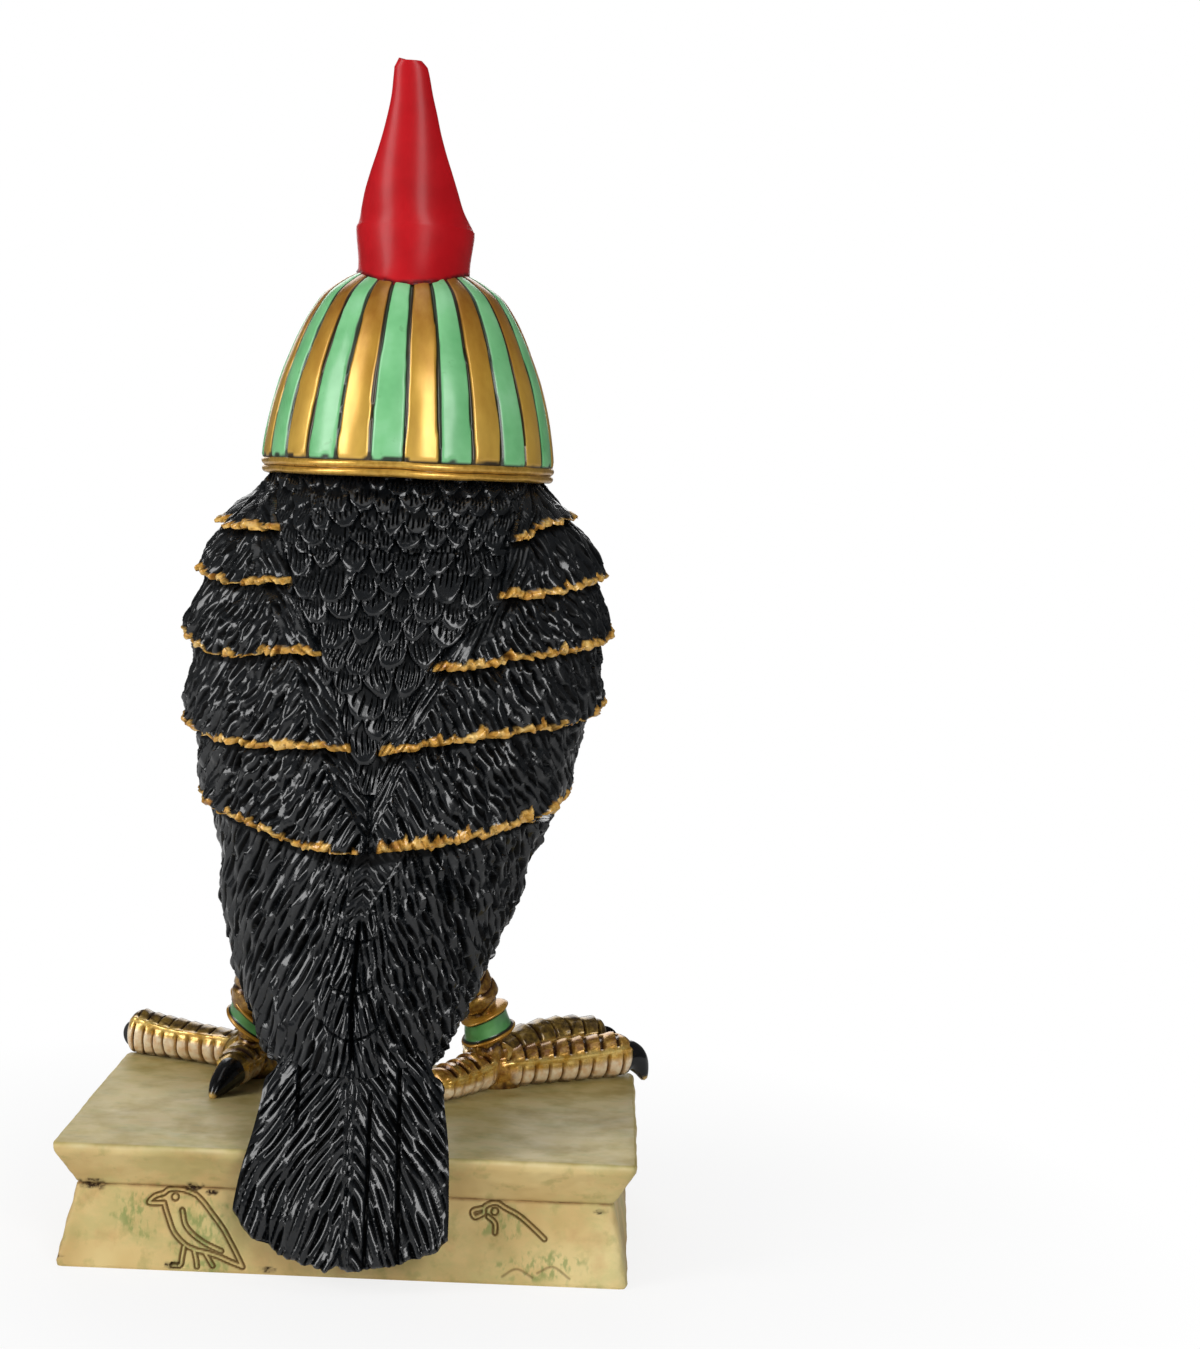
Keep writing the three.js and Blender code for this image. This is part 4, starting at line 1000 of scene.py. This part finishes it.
# Strokes of the incised birds on the block's rear face, as x and height
WHOLE_BIRD = (
    ((28.0, 11.4), (27.2, 12.0), (25.6, 12.1), (24.2, 11.8), (22.9, 11.3)),
    ((22.9, 11.3), (21.4, 9.9), (18.6, 6.6), (16.8, 3.8), (15.2, 1.0)),
    ((28.0, 11.4), (29.4, 10.9), (30.2, 10.0), (29.0, 9.9), (27.9, 10.0)),
    ((27.9, 10.0), (27.1, 7.9), (26.0, 5.6), (24.2, 3.9), (22.6, 3.2)),
    ((22.6, 3.2), (19.6, 2.6), (17.4, 1.8), (15.2, 1.0)),
    ((25.0, 9.0), (24.2, 6.6), (21.8, 4.6), (18.6, 3.2)),
    ((24.4, 3.6), (24.6, 2.0), (24.8, 0.9), (26.0, 0.8)),
    ((22.8, 3.1), (22.4, 1.8), (22.2, 0.8)),
    ((21.0, 2.7), (19.8, 1.0)),
)
HALF_BIRD = (
    ((-21.5, 10.4), (-21.7, 11.5), (-23.3, 12.1), (-24.8, 11.4)),
    ((-24.8, 11.4), (-27.0, 10.3), (-29.2, 8.6), (-31.1, 7.0)),
    ((-21.6, 11.3), (-19.8, 10.7), (-20.2, 9.8), (-21.5, 10.4)),
    ((-22.2, 10.0), (-23.3, 9.0), (-23.4, 7.6)),
)
FAINT_ARCS = (((-24.8, 1.2), (-27.0, 2.4), (-29.5, 1.2)), ((-30.2, 1.9), (-32.6, 2.9), (-35.2, 1.3)))
EYES = ((26.2, 10.9), (-23.2, 10.8))
OUTLINE_GAP = 0.34
STROKE_WIDTH = 0.16

# Chips in the paint of the rear face, and teal paint left in the carving: place, height and reach both ways
CHIPS = ((39, 12.6, 2.0, 0.9), (23.4, 12.6, 1.6, 0.72), (20.6, 11.9, 0.9, 0.405), (-44.6, 13.2, 1.8, 0.81),
         (-39.4, 11.4, 0.8, 0.36), (44.3, 1.6, 1.2, 0.54), (26, 0.9, 1.4, 0.63), (11.4, 0.8, 1.2, 0.54))
TEAL_WASHES = ((21.5, 6.5, 5.0, 6.0), (31.5, 8.5, 4.0, 5.0), (20.4, 1.0, 6.0, 1.3), (-24.5, 9.2, 4.5, 2.6),
               (-31, 3, 7, 2.4))


def stroke_distance(x, z, strokes):
    """Distance in millimetres to the nearest of some strokes on the block's rear face."""
    nearest = np.full(np.broadcast(x, z).shape, 9.0)
    for stroke in strokes:
        steps = np.linspace(0, 1, len(stroke))
        fine = np.linspace(0, 1, 7 * len(stroke))
        line_x, line_z = (curve(*zip(steps, track))(fine) for track in zip(*stroke))
        for from_x, from_z, dx, dz in zip(line_x, line_z, np.diff(line_x), np.diff(line_z)):
            t = np.clip(((x - from_x) * dx + (z - from_z) * dz) / (dx * dx + dz * dz), 0, 1)
            nearest = np.minimum(nearest, np.hypot(x - from_x - t * dx, z - from_z - t * dz))
    return nearest


def spots(x, height, places, limit, waver):
    """Soft-edged ovals, each given by its place, its height and its reach both ways."""
    cover = np.zeros_like(height)
    for middle_x, middle_z, reach_x, reach_z in places:
        near = np.hypot((x - middle_x) / reach_x, (height - middle_z) / reach_z)
        cover = np.maximum(cover, ease(limit, limit - 0.7, near + waver))
    return cover


def plinth_rows():
    """Heights of the plinth's rows, and how far each row is set in from the slab's edge."""
    slab_top = PLINTH_HEIGHT - EDGE_DROPS[-1]
    slab = np.linspace(slab_top, SEAM_HEIGHT + 0.15, 18)[1:]
    block = np.linspace(SEAM_HEIGHT - 0.15, 0.5, 58)
    heights = np.concatenate([PLINTH_HEIGHT - np.array(EDGE_DROPS), slab, [SEAM_HEIGHT], block, [0.2, 0.0]])
    rounded = curve((PLINTH_HEIGHT, PLINTH_EDGE), (PLINTH_HEIGHT - 0.15, 0.2), (PLINTH_HEIGHT - 0.45, 0.02),
                    (slab_top, 0.08))(heights)
    on_slab = mix(0.08, SLAB_UNDERCUT, (slab_top - heights) / (slab_top - SEAM_HEIGHT))
    on_block = mix(SLAB_UNDERCUT, SLAB_UNDERCUT - BLOCK_FLARE, 1 - heights / SEAM_HEIGHT)
    inset = np.where(heights > slab_top, rounded, np.where(heights > SEAM_HEIGHT, on_slab, on_block))
    inset = inset + 0.25 * ease(0.4, 0, heights) + 0.25 * bell(heights - SEAM_HEIGHT, 0.2)
    return heights[:, None], inset[:, None]


def plinth_columns():
    """The plinth's columns round a square from -1 to 1, closest together on the rear face by the birds."""
    rear = np.interp(np.linspace(0, 1, 301)[1:-1], (0, 0.04, 0.39, 0.57, 0.93, 1),
                     (-1, -0.85, -0.44, 0.32, 0.75, 1))
    left, right = rear[rear > 0], rear[rear < 0]
    flank = np.linspace(-1, 1, 41)
    front = np.linspace(-1, 1, 51)[1:-1]
    ones = np.ones_like
    square_x = np.concatenate([[0], left, ones(flank), -front, -ones(flank), right, [0]])
    square_y = np.concatenate([[1], ones(left), -flank, -ones(front), flank, ones(right), [1]])
    return square_x, square_y


def plinth():
    """A slab whose faces run in towards a line, over a block whose faces run out to the floor."""
    z, inset = plinth_rows()
    square_x, square_y = plinth_columns()
    half_x = PLINTH_WIDTH / 2 - inset
    half_y = PLINTH_DEPTH / 2 - inset
    x = square_x * half_x
    y = square_y * half_y
    # Rounded upright corners
    over_x = np.maximum(np.abs(x) - (half_x - CORNER_RADIUS), 0)
    over_y = np.maximum(np.abs(y) - (half_y - CORNER_RADIUS), 0)
    both = (over_x > 0) & (over_y > 0)
    scale = np.maximum(over_x, over_y) / np.maximum(np.hypot(over_x, over_y), 1e-6)
    x = np.where(both, np.sign(x) * (half_x - CORNER_RADIUS + over_x * scale), x)
    y = np.where(both, np.sign(y) * (half_y - CORNER_RADIUS + over_y * scale), y)
    # The birds' outlines are double: two thin grooves with a low ridge between them
    nearest = stroke_distance(x, z, WHOLE_BIRD + HALF_BIRD)
    carve = bell(nearest - OUTLINE_GAP, STROKE_WIDTH)
    carve = np.maximum(carve, 0.5 * bell(stroke_distance(x, z, FAINT_ARCS), 0.3))
    for eye_x, eye_z in EYES:
        carve = np.maximum(carve, bell(np.hypot(x - eye_x, z - eye_z) - 0.55, STROKE_WIDTH))
    on_rear = (square_y > 0.999) & (np.abs(square_x) < 0.985) & (z < SEAM_HEIGHT - 0.05) & (z > 0.3)
    carve = carve * on_rear
    rough = 0.14 * drift(x / 5, z / 2.5 + y / 5, 13) + 0.07 * drift(x / 1.4, z / 1.1 + y / 1.4, 14)
    shift = rough - 0.42 * carve + 0.08 * bell(nearest, 0.2) * on_rear
    shift = shift * ease(0, 0.5, z) * ease(PLINTH_HEIGHT, PLINTH_HEIGHT - 0.3, z)
    x = x + square_x * shift * (np.abs(square_x) > 0.999)
    y = y + square_y * shift * (np.abs(square_y) > 0.999)
    top = []
    for share in np.linspace(0.08, 0.98, 14):
        ring_x, ring_y = square_x * half_x[0] * share, square_y * half_y[0] * share
        swell = 0.10 * drift(ring_x / 9, ring_y / 9, 15) * ease(1, 0.93, share)
        top.append(stack(ring_x, ring_y, PLINTH_HEIGHT - 0.06 + swell)[None])
    points = np.concatenate([*top, stack(x, y, z), stack(x[-1:] * 0.5, y[-1:] * 0.5, z[-1:])])
    x, y, height = np.moveaxis(points, -1, 0)
    carved = np.pad(carve, ((len(top), 1), (0, 0)))
    rear = y > PLINTH_DEPTH / 2 - 4
    chip = spots(x, height, CHIPS, 1.2, 0.5 * drift(x / 0.5, height / 0.4, 5))
    teal = spots(x, height, TEAL_WASHES, 1.1, 0.5 * drift(x / 1.2, height, 8))
    # A paler band along the rounded top edge
    masks = dict(carve=carved, pale_top_edge=bell(height - PLINTH_HEIGHT + 0.35, 0.4),
                 seam=bell(height - SEAM_HEIGHT, 0.22), chip=chip * rear, teal=teal * rear)
    return grid_piece("plinth", points, masks, sharp=38)


# Paints

def tone(code):
    """A colour from its six-digit screen code."""
    shares = [int(code[i:i + 2], 16) / 255 for i in (0, 2, 4)]
    return tuple(((share + 0.055) / 1.055) ** 2.4 if share > 0.04 else share / 12.92 for share in shares)


class Paint:
    """A painted finish: one shader, and the nodes that vary it over a piece. Colours are six-digit codes."""

    def __init__(self, name, **steady):
        self.material = bpy.data.materials.new(name)
        self.material.use_nodes = True
        self.tree = self.material.node_tree
        self.shader = self.tree.nodes["Principled BSDF"]
        self.place = self.node("TexCoord").outputs["Object"]
        self.drive(**steady)

    def node(self, kind, inputs=(), **settings):
        """A new node with its settings, and a source or a steady value for each of some inputs."""
        node = self.tree.nodes.new("ShaderNode" + kind)
        for name, value in settings.items():
            setattr(node, name, value)
        for name, value in dict(inputs).items():
            self.fill(node.inputs[name], value)
        return node

    def fill(self, socket, value):
        """Links a source to a socket, or sets the socket to a steady value."""
        if isinstance(value, bpy.types.NodeSocket):
            self.tree.links.new(value, socket)
        else:
            socket.default_value = (*tone(value), 1) if isinstance(value, str) else value

    def drive(self, **sources):
        for socket, source in sources.items():
            self.fill(self.shader.inputs[socket.replace("_", " ")], source)

    def mask(self, name):
        return self.node("Attribute", attribute_name=name).outputs["Fac"]

    def noise(self, size, detail=3, stretch=(1, 1, 1), rough=0.55):
        """Noise with grains of about the given size in millimetres."""
        place = self.node("Mapping", {"Vector": self.place, "Scale": stretch}).outputs["Vector"]
        scale = 1 / (size * MILLIMETRE)
        inputs = {"Vector": place, "Scale": scale, "Detail": detail, "Roughness": rough}
        return self.node("TexNoise", inputs).outputs["Fac"]

    def ramp(self, factor, *stops):
        """A colour or grey that runs through (place, value) stops."""
        node = self.node("ValToRGB", {"Fac": factor})
        elements = node.color_ramp.elements
        while len(elements) < len(stops):
            elements.new(0.5)
        for element, (place, value) in zip(elements, stops):
            element.position = place
            element.color = (*(tone(value) if isinstance(value, str) else (value,) * 3), 1)
        return node.outputs["Color"]

    def grain(self, size, detail, *stops, **look):
        """Noise that runs through (place, value) stops."""
        return self.ramp(self.noise(size, detail, **look), *stops)

    def blend(self, factor, first, second):
        """The first colour, changed to the second by the factor."""
        node = self.node("Mix", data_type="RGBA")
        sockets = [socket for socket in node.inputs if socket.enabled]
        for socket, value in zip(sockets, (factor, first, second)):
            self.fill(socket, value)
        return next(socket for socket in node.outputs if socket.enabled)

    def times(self, first, *others):
        """The product of some numbers, kept from 0 to 1."""
        for other in others:
            node = self.node("Math", {0: first, 1: other}, operation="MULTIPLY", use_clamp=True)
            first = node.outputs["Value"]
        return first

    def over(self, colour, code, *factors):
        """The colour with another laid over it, as much as the product of the factors says."""
        return self.blend(self.times(*factors), colour, code)

    def finished(self, rough, bump=None, **sources):
        """The material, with its sources, its roughness and its bump.

        Roughness is (size, detail, low, high) of a grain; a bump is (size, detail, strength, depth)."""
        size, detail, low, high = rough
        self.drive(Roughness=self.grain(size, detail, (0.3, low), (0.7, high)), **sources)
        if bump:
            size, detail, strength, depth = bump
            inputs = {"Height": self.noise(size, detail), "Strength": strength}
            inputs["Distance"] = depth * MILLIMETRE
            self.drive(Normal=self.node("Bump", inputs).outputs["Normal"])
        return self.material


def gold(paint, fine):
    """Bronze-gold leaf paint: ochre, with brown where it is thin and pale where it is rubbed."""
    patches = paint.grain(fine * 3.2, 4, (0.3, "6A3C0E"), (0.5, "B47C24"), (0.68, "E2B24C"))
    flecks = paint.grain(fine * 0.7, 3, (0.38, "8A5A1C"), (0.62, "E2B75E"))
    return paint.blend(0.45, patches, flecks)


def plumage_paint():
    paint = Paint("black_plumage", Coat_Roughness=0.18, Specular_IOR_Level=0.1)
    gilt = paint.mask("gilt")
    painted_shade = paint.mask("painted_shade")
    black = paint.grain(1.1, 3, (0.3, "040608"), (0.72, "0A0E12"))
    # Painted shade: the black goes near-black, and the gold dark brown, in the carved cuts and under each
    # row's lip
    black = paint.over(black, "020202", paint.ramp(painted_shade, (0.1, 0.0), (0.6, 1.0)))
    gilded = paint.grain(1.8, 3, (0.3, "A87028"), (0.46, "D6A044"), (0.7, "EEC878"))
    gilded = paint.over(gilded, "5A3410", paint.grain(1.0, 3, (0.34, 1.0), (0.42, 0.0)), 0.6)
    gilded = paint.over(gilded, "2A1606", painted_shade, 0.8)
    return paint.finished(
        bump=(0.6, 2, 0.12, 0.05),
        Base_Color=paint.blend(gilt, black, gilded),
        Metallic=paint.times(gilt, 0.25),
        rough=(2.4, 3, 0.4, 0.55),
        Coat_Weight=paint.ramp(painted_shade, (0.02, 1.0), (0.28, 0.02)),
    )


def stripe_paint(name, greens):
    """Green and gold with dark engraved lines. The gold is brown near the top and bright lower down."""
    paint = Paint(name, Coat_Weight=0.5, Coat_Roughness=0.24, Specular_IOR_Level=0.35)
    gilt = paint.mask("gold")
    metal = paint.ramp(
        paint.mask("rise"), (0.05, "8A5212"), (0.3, "A86E1C"), (0.55, "CC9A36"), (0.85, "DDB24E"))
    rubbed = paint.grain(2.6, 4, (0.35, "A66E1E"), (0.65, "DDB04A"), stretch=(1, 1, 0.35))
    metal = paint.blend(0.3, metal, rubbed)
    green = paint.grain(7, 3, *zip((0.3, 0.55, 0.75), greens))
    green = paint.over(green, "4B8A50", paint.grain(1.8, 4, (0.28, 1.0), (0.35, 0.0)), 0.3)
    line = paint.ramp(paint.mask("line"), (0.1, 0.0), (0.5, 1.0))
    return paint.finished(
        bump=(1.6, 3, 0.15, 0.05),
        Base_Color=paint.over(paint.blend(gilt, green, metal), "120E06", line, 0.95),
        Metallic=paint.times(gilt, 0.4),
        rough=(3, 3, 0.3, 0.38),
    )


def gold_paint():
    paint = Paint("gold_band_paint", Coat_Weight=0.4, Coat_Roughness=0.2)
    line = paint.ramp(paint.mask("line"), (0.15, 0.0), (0.7, 1.0))
    bright = paint.over(gold(paint, 1.0), "E6B64C", 0.45)
    return paint.finished(
        bump=(0.9, 3, 0.35, 0.08),
        Base_Color=paint.over(bright, "3A1F08", line, 0.9),
        Metallic=paint.ramp(line, (0.0, 0.65), (1.0, 0.1)),
        rough=(1.7, 3, 0.26, 0.4),
    )


def crown_paint():
    paint = Paint("red_crown_paint", Coat_Weight=0.3, Coat_Roughness=0.28, Specular_IOR_Level=0.1)
    red = paint.grain(9, 3, (0.3, "A40A13"), (0.7, "BE101A"))
    rub = paint.grain(1.4, 4, (0.3, 0.4), (0.55, 1.0))
    return paint.finished(
        bump=(1.8, 3, 0.2, 0.08),
        Base_Color=paint.over(red, "3A0507", paint.mask("foot"), rub),
        rough=(2.2, 4, 0.42, 0.55),
    )


def foot_paint():
    """Gold toes with olive-brown plates on top in painted shade, pale pads below and red-brown cuts.

    A painted highlight runs along the ridges, and painted contact shadow darkens the toes by the plinth.
    """
    paint = Paint("gilded_foot_paint", Coat_Weight=0.55, Coat_Roughness=0.14, Specular_IOR_Level=0.3)
    pad = paint.mask("pad")
    plate = paint.grain(1.3, 4, (0.34, "3E2C10"), (0.5, "6E5520"), (0.66, "987A34"))
    skin = paint.over(gold(paint, 0.9), "6E3010", paint.grain(1.7, 4, (0.4, 1.0), (0.52, 0.0)), 0.6)
    # Painted shade: olive-brown over the gold where the shade mask is high
    colour = paint.blend(paint.mask("shade"), skin, plate)
    # Painted highlight: pale gold along the ridges
    bright = paint.grain(1.6, 3, (0.35, "CC9830"), (0.6, "F2D27A"))
    colour = paint.over(colour, bright, paint.mask("ridge"), 0.85)
    colour = paint.over(colour, paint.grain(1.2, 3, (0.32, "DEB688"), (0.6, "F4E2C0")), pad, 0.9)
    colour = paint.over(colour, "2E1006", paint.ramp(paint.mask("line"), (0.1, 0.0), (0.55, 1.0)), 0.9)
    # Painted contact shadow: dark brown where the toes meet the plinth
    colour = paint.over(colour, "3C1808", paint.mask("contact_shadow"), paint.grain(1.5, 3, (0.3, 1.0), (0.65, 0.5)))
    return paint.finished(
        bump=(0.6, 3, 0.3, 0.08),
        Base_Color=colour,
        Metallic=paint.ramp(pad, (0.0, 0.5), (1.0, 0.0)),
        rough=(1.4, 3, 0.22, 0.36),
    )


def claw_paint():
    paint = Paint("black_claw_paint", Coat_Weight=0.55, Coat_Roughness=0.09, Specular_IOR_Level=0.15)
    black = paint.grain(1.2, 3, (0.3, "060607"), (0.7, "141416"))
    chipped = paint.grain(0.7, 3, (0.45, 0.0), (0.5, 1.0))
    return paint.finished(
        bump=(1.2, 2, 0.15, 0.06),
        Base_Color=paint.over(black, "D8B46A", paint.mask("chip"), chipped),
        rough=(1.5, 3, 0.16, 0.28),
    )


def beak_paint():
    paint = Paint("beak_paint", Coat_Weight=0.6, Coat_Roughness=0.12)
    dark = paint.ramp(paint.mask("dark"), (0.1, 0.0), (0.8, 1.0))
    colour = paint.over(gold(paint, 0.9), "120E0B", dark)
    return paint.finished(
        bump=(0.8, 3, 0.25, 0.07),
        Base_Color=paint.over(colour, "1A0D05", paint.mask("line"), 0.9),
        Metallic=paint.ramp(dark, (0.0, 0.55), (1.0, 0.0)),
        rough=(1.5, 3, 0.22, 0.36),
    )


def eye_paint():
    paint = Paint("eye_paint", Coat_Weight=1.0, Coat_Roughness=0.04)
    iris = paint.grain(0.5, 3, (0.35, "8A4A0C"), (0.65, "D08A24"))
    rim = paint.mask("rim")
    return paint.finished(
        Base_Color=paint.blend(rim, paint.over(iris, "050505", paint.mask("pupil")), gold(paint, 0.6)),
        Metallic=paint.times(rim, 0.55),
        rough=(1.0, 3, 0.16, 0.24),
    )


def plinth_paint():
    """Cream paint with green and brown washes, brown in the carved lines and dark chips along the edges."""
    paint = Paint("cream_plinth_paint", Coat_Weight=0.06, Coat_Roughness=0.32, Specular_IOR_Level=0.14)
    side = paint.grain(16, 3, (0.32, "BFA169"), (0.5, "CFB57C"), (0.7, "DBC88F"))
    top = paint.grain(12, 4, (0.35, "A6914F"), (0.65, "C6B371"))
    height = paint.node("SeparateXYZ", {"Vector": paint.place}).outputs["Z"]
    on_top = paint.node("MapRange", {
        "Value": height,
        "From Min": (PLINTH_HEIGHT - 0.6) * MILLIMETRE,
        "From Max": (PLINTH_HEIGHT - 0.15) * MILLIMETRE,
    }).outputs["Result"]
    brushed = dict(stretch=(0.6, 1.0, 0.9), rough=0.68)
    green = paint.grain(5, 3, (0.35, "8D9A5C"), (0.65, "A9AE72"))
    streak = paint.grain(1.5, 5, (0.56, 0.0), (0.68, 1.0), stretch=(0.5, 1.0, 0.35))
    hatch = paint.grain(0.7, 4, (0.46, 0.0), (0.6, 1.0), stretch=(0.8, 1.0, 0.35))
    colour = paint.blend(on_top, side, top)
    for code, *factors in (
            (green, paint.grain(9, 6, (0.48, 0.0), (0.6, 1.0), **brushed), 0.3),
            ("76803F", streak, 0.3),
            ("B06A44", paint.grain(6, 4, (0.58, 0.0), (0.72, 1.0)), 0.22),
            ("E4D5A6", paint.mask("pale_top_edge"), paint.grain(6, 3, (0.35, 0.25), (0.6, 1.0)), 0.6),
            ("6E3E22", paint.mask("seam"), paint.grain(3, 3, (0.35, 0.3), (0.6, 1.0)), 0.7),
            ("6A8648", paint.mask("teal"), hatch, 0.6),
            ("5C3F1C", paint.ramp(paint.mask("carve"), (0.2, 0.0), (0.6, 1.0)), 0.8),
            ("2B1A0E", paint.mask("chip"), paint.grain(0.8, 3, (0.42, 0.4), (0.55, 1.0))),
    ):
        colour = paint.over(colour, code, *factors)
    return paint.finished(
        bump=(0.9, 4, 0.3, 0.09),
        Base_Color=colour,
        rough=(4, 3, 0.42, 0.6),
    )


# Floor, light and camera

def floor_paint():
    """A pale matt floor that fades to the white backdrop away from the figure."""
    paint = Paint("pale_floor", Roughness=0.7, Base_Color=(0.88, 0.88, 0.88, 1))
    distance = paint.node("VectorMath", {0: paint.place}, operation="LENGTH").outputs["Value"]
    faded = paint.node("MapRange", {
        "Value": distance, "From Min": FADE_START, "From Max": FADE_END, "To Min": FADE_NEAR,
    }).outputs["Result"]
    seen = paint.node("LightPath").outputs["Is Camera Ray"]
    both = paint.node("MixShader", {
        "Fac": paint.times(faded, seen),
        1: paint.shader.outputs["BSDF"],
        2: paint.node("Emission").outputs["Emission"],
    })
    paint.fill(paint.tree.nodes["Material Output"].inputs["Surface"], both.outputs["Shader"])
    return paint.material


def studio():
    """A pale floor that runs out to white, with soft lights behind the bird, over it and before it."""
    bpy.ops.object.select_all(action="DESELECT")
    bpy.ops.mesh.primitive_plane_add(size=FLOOR_SIZE)
    floor = bpy.context.object
    floor.name = "floor"
    floor.data.materials.append(floor_paint())
    world = bpy.data.worlds.new("studio")
    bpy.context.scene.world = world
    world.use_nodes = True
    tree = world.node_tree
    backdrop = tree.nodes["Background"]
    backdrop.inputs["Color"].default_value = (1, 1, 1, 1)
    seen = tree.nodes.new("ShaderNodeMapRange")
    seen.inputs["To Min"].default_value = WORLD_STRENGTH
    seen.inputs["To Max"].default_value = 1
    tree.links.new(tree.nodes.new("ShaderNodeLightPath").outputs["Is Camera Ray"], seen.inputs["Value"])
    tree.links.new(seen.outputs["Result"], backdrop.inputs["Strength"])
    bpy.context.scene.view_settings.view_transform = "Standard"
    for name, place, size, power in LIGHTS:
        lamp = bpy.data.lights.new(name, "AREA")
        lamp.shape = "RECTANGLE"
        lamp.size, lamp.size_y = size
        lamp.energy = power
        light = bpy.data.objects.new(name, lamp)
        bpy.context.collection.objects.link(light)
        light.location = place
        aim = Vector(LIGHT_AIM) - light.location
        light.rotation_euler = aim.to_track_quat("-Z", "Y").to_euler()


FLOOR_SIZE = 8
WORLD_STRENGTH = 0.1
FADE_START = 0.03
FADE_END = 0.14
FADE_NEAR = 0.8
LIGHT_AIM = (0, 0, 0.1)
LIGHTS = (
    ("left_softbox", (0.70, 0.42, 0.40), (0.35, 0.6), 4.6),
    ("right_softbox", (-0.36, 0.78, 0.42), (0.30, 0.6), 4.3),
    ("top_softbox", (0.0, 0.1, 0.85), (0.5, 0.5), 0.8),
    ("front_softbox", (0.1, -0.8, 0.45), (0.6, 0.6), 2.4),
)

# The camera stands behind the bird, a little to its right, and the picture is turned by a small roll.
CAMERA_PLACE = Vector((-36, 396, 124)) * MILLIMETRE
CAMERA_PITCH = 0.0793
CAMERA_ROLL = 0.042
CAMERA_LENS = 65.06


def camera():
    data = bpy.data.cameras.new("camera")
    data.lens = CAMERA_LENS
    data.sensor_width = 36
    data.clip_start = 0.01
    ahead = Vector((0, -math.cos(CAMERA_PITCH), -math.sin(CAMERA_PITCH)))
    level = Vector((-1, 0, 0))
    upward = level.cross(ahead)
    right = math.cos(CAMERA_ROLL) * level + math.sin(CAMERA_ROLL) * upward
    top = -math.sin(CAMERA_ROLL) * level + math.cos(CAMERA_ROLL) * upward
    view = bpy.data.objects.new("camera", data)
    bpy.context.collection.objects.link(view)
    turn = Matrix((right, top, -ahead)).transposed().to_4x4()
    view.matrix_world = Matrix.Translation(CAMERA_PLACE) @ turn
    bpy.context.scene.camera = view


# The figure

plumage = plumage_paint()
stripes = stripe_paint("striped_cap_paint", ("69B476", "7CC487", "8ECE9A"))
anklet_paint = stripe_paint("anklet_paint", ("2F5E33", "4F8F50", "69AC68"))
rolls = gold_paint()
toes = foot_paint()
claws = claw_paint()
eyes = eye_paint()
for number in range(len(WING_ROWS)):
    finish(wing_row(number), plumage)
for piece in (mantle(), rump(), tail(), breast(), head()):
    finish(piece, plumage)
finish(striped_cap(), stripes)
finish(cap_band(), rolls)
finish(brow_band(), rolls)
finish(crown(), crown_paint())
finish(beak(), beak_paint())
for side in (1, -1):
    finish(eye(side), eyes)
    finish(lappet(side), stripes)
    finish(thigh(side), plumage)
    finish(shank(side), toes)
    finish(anklet(side), anklet_paint)
    finish(foot_pad(side), toes)
    for number, form in enumerate(TOES[side]):
        finish(toe(form, number), toes)
        finish(claw(form), claws)
finish(plinth(), plinth_paint())
studio()
camera()
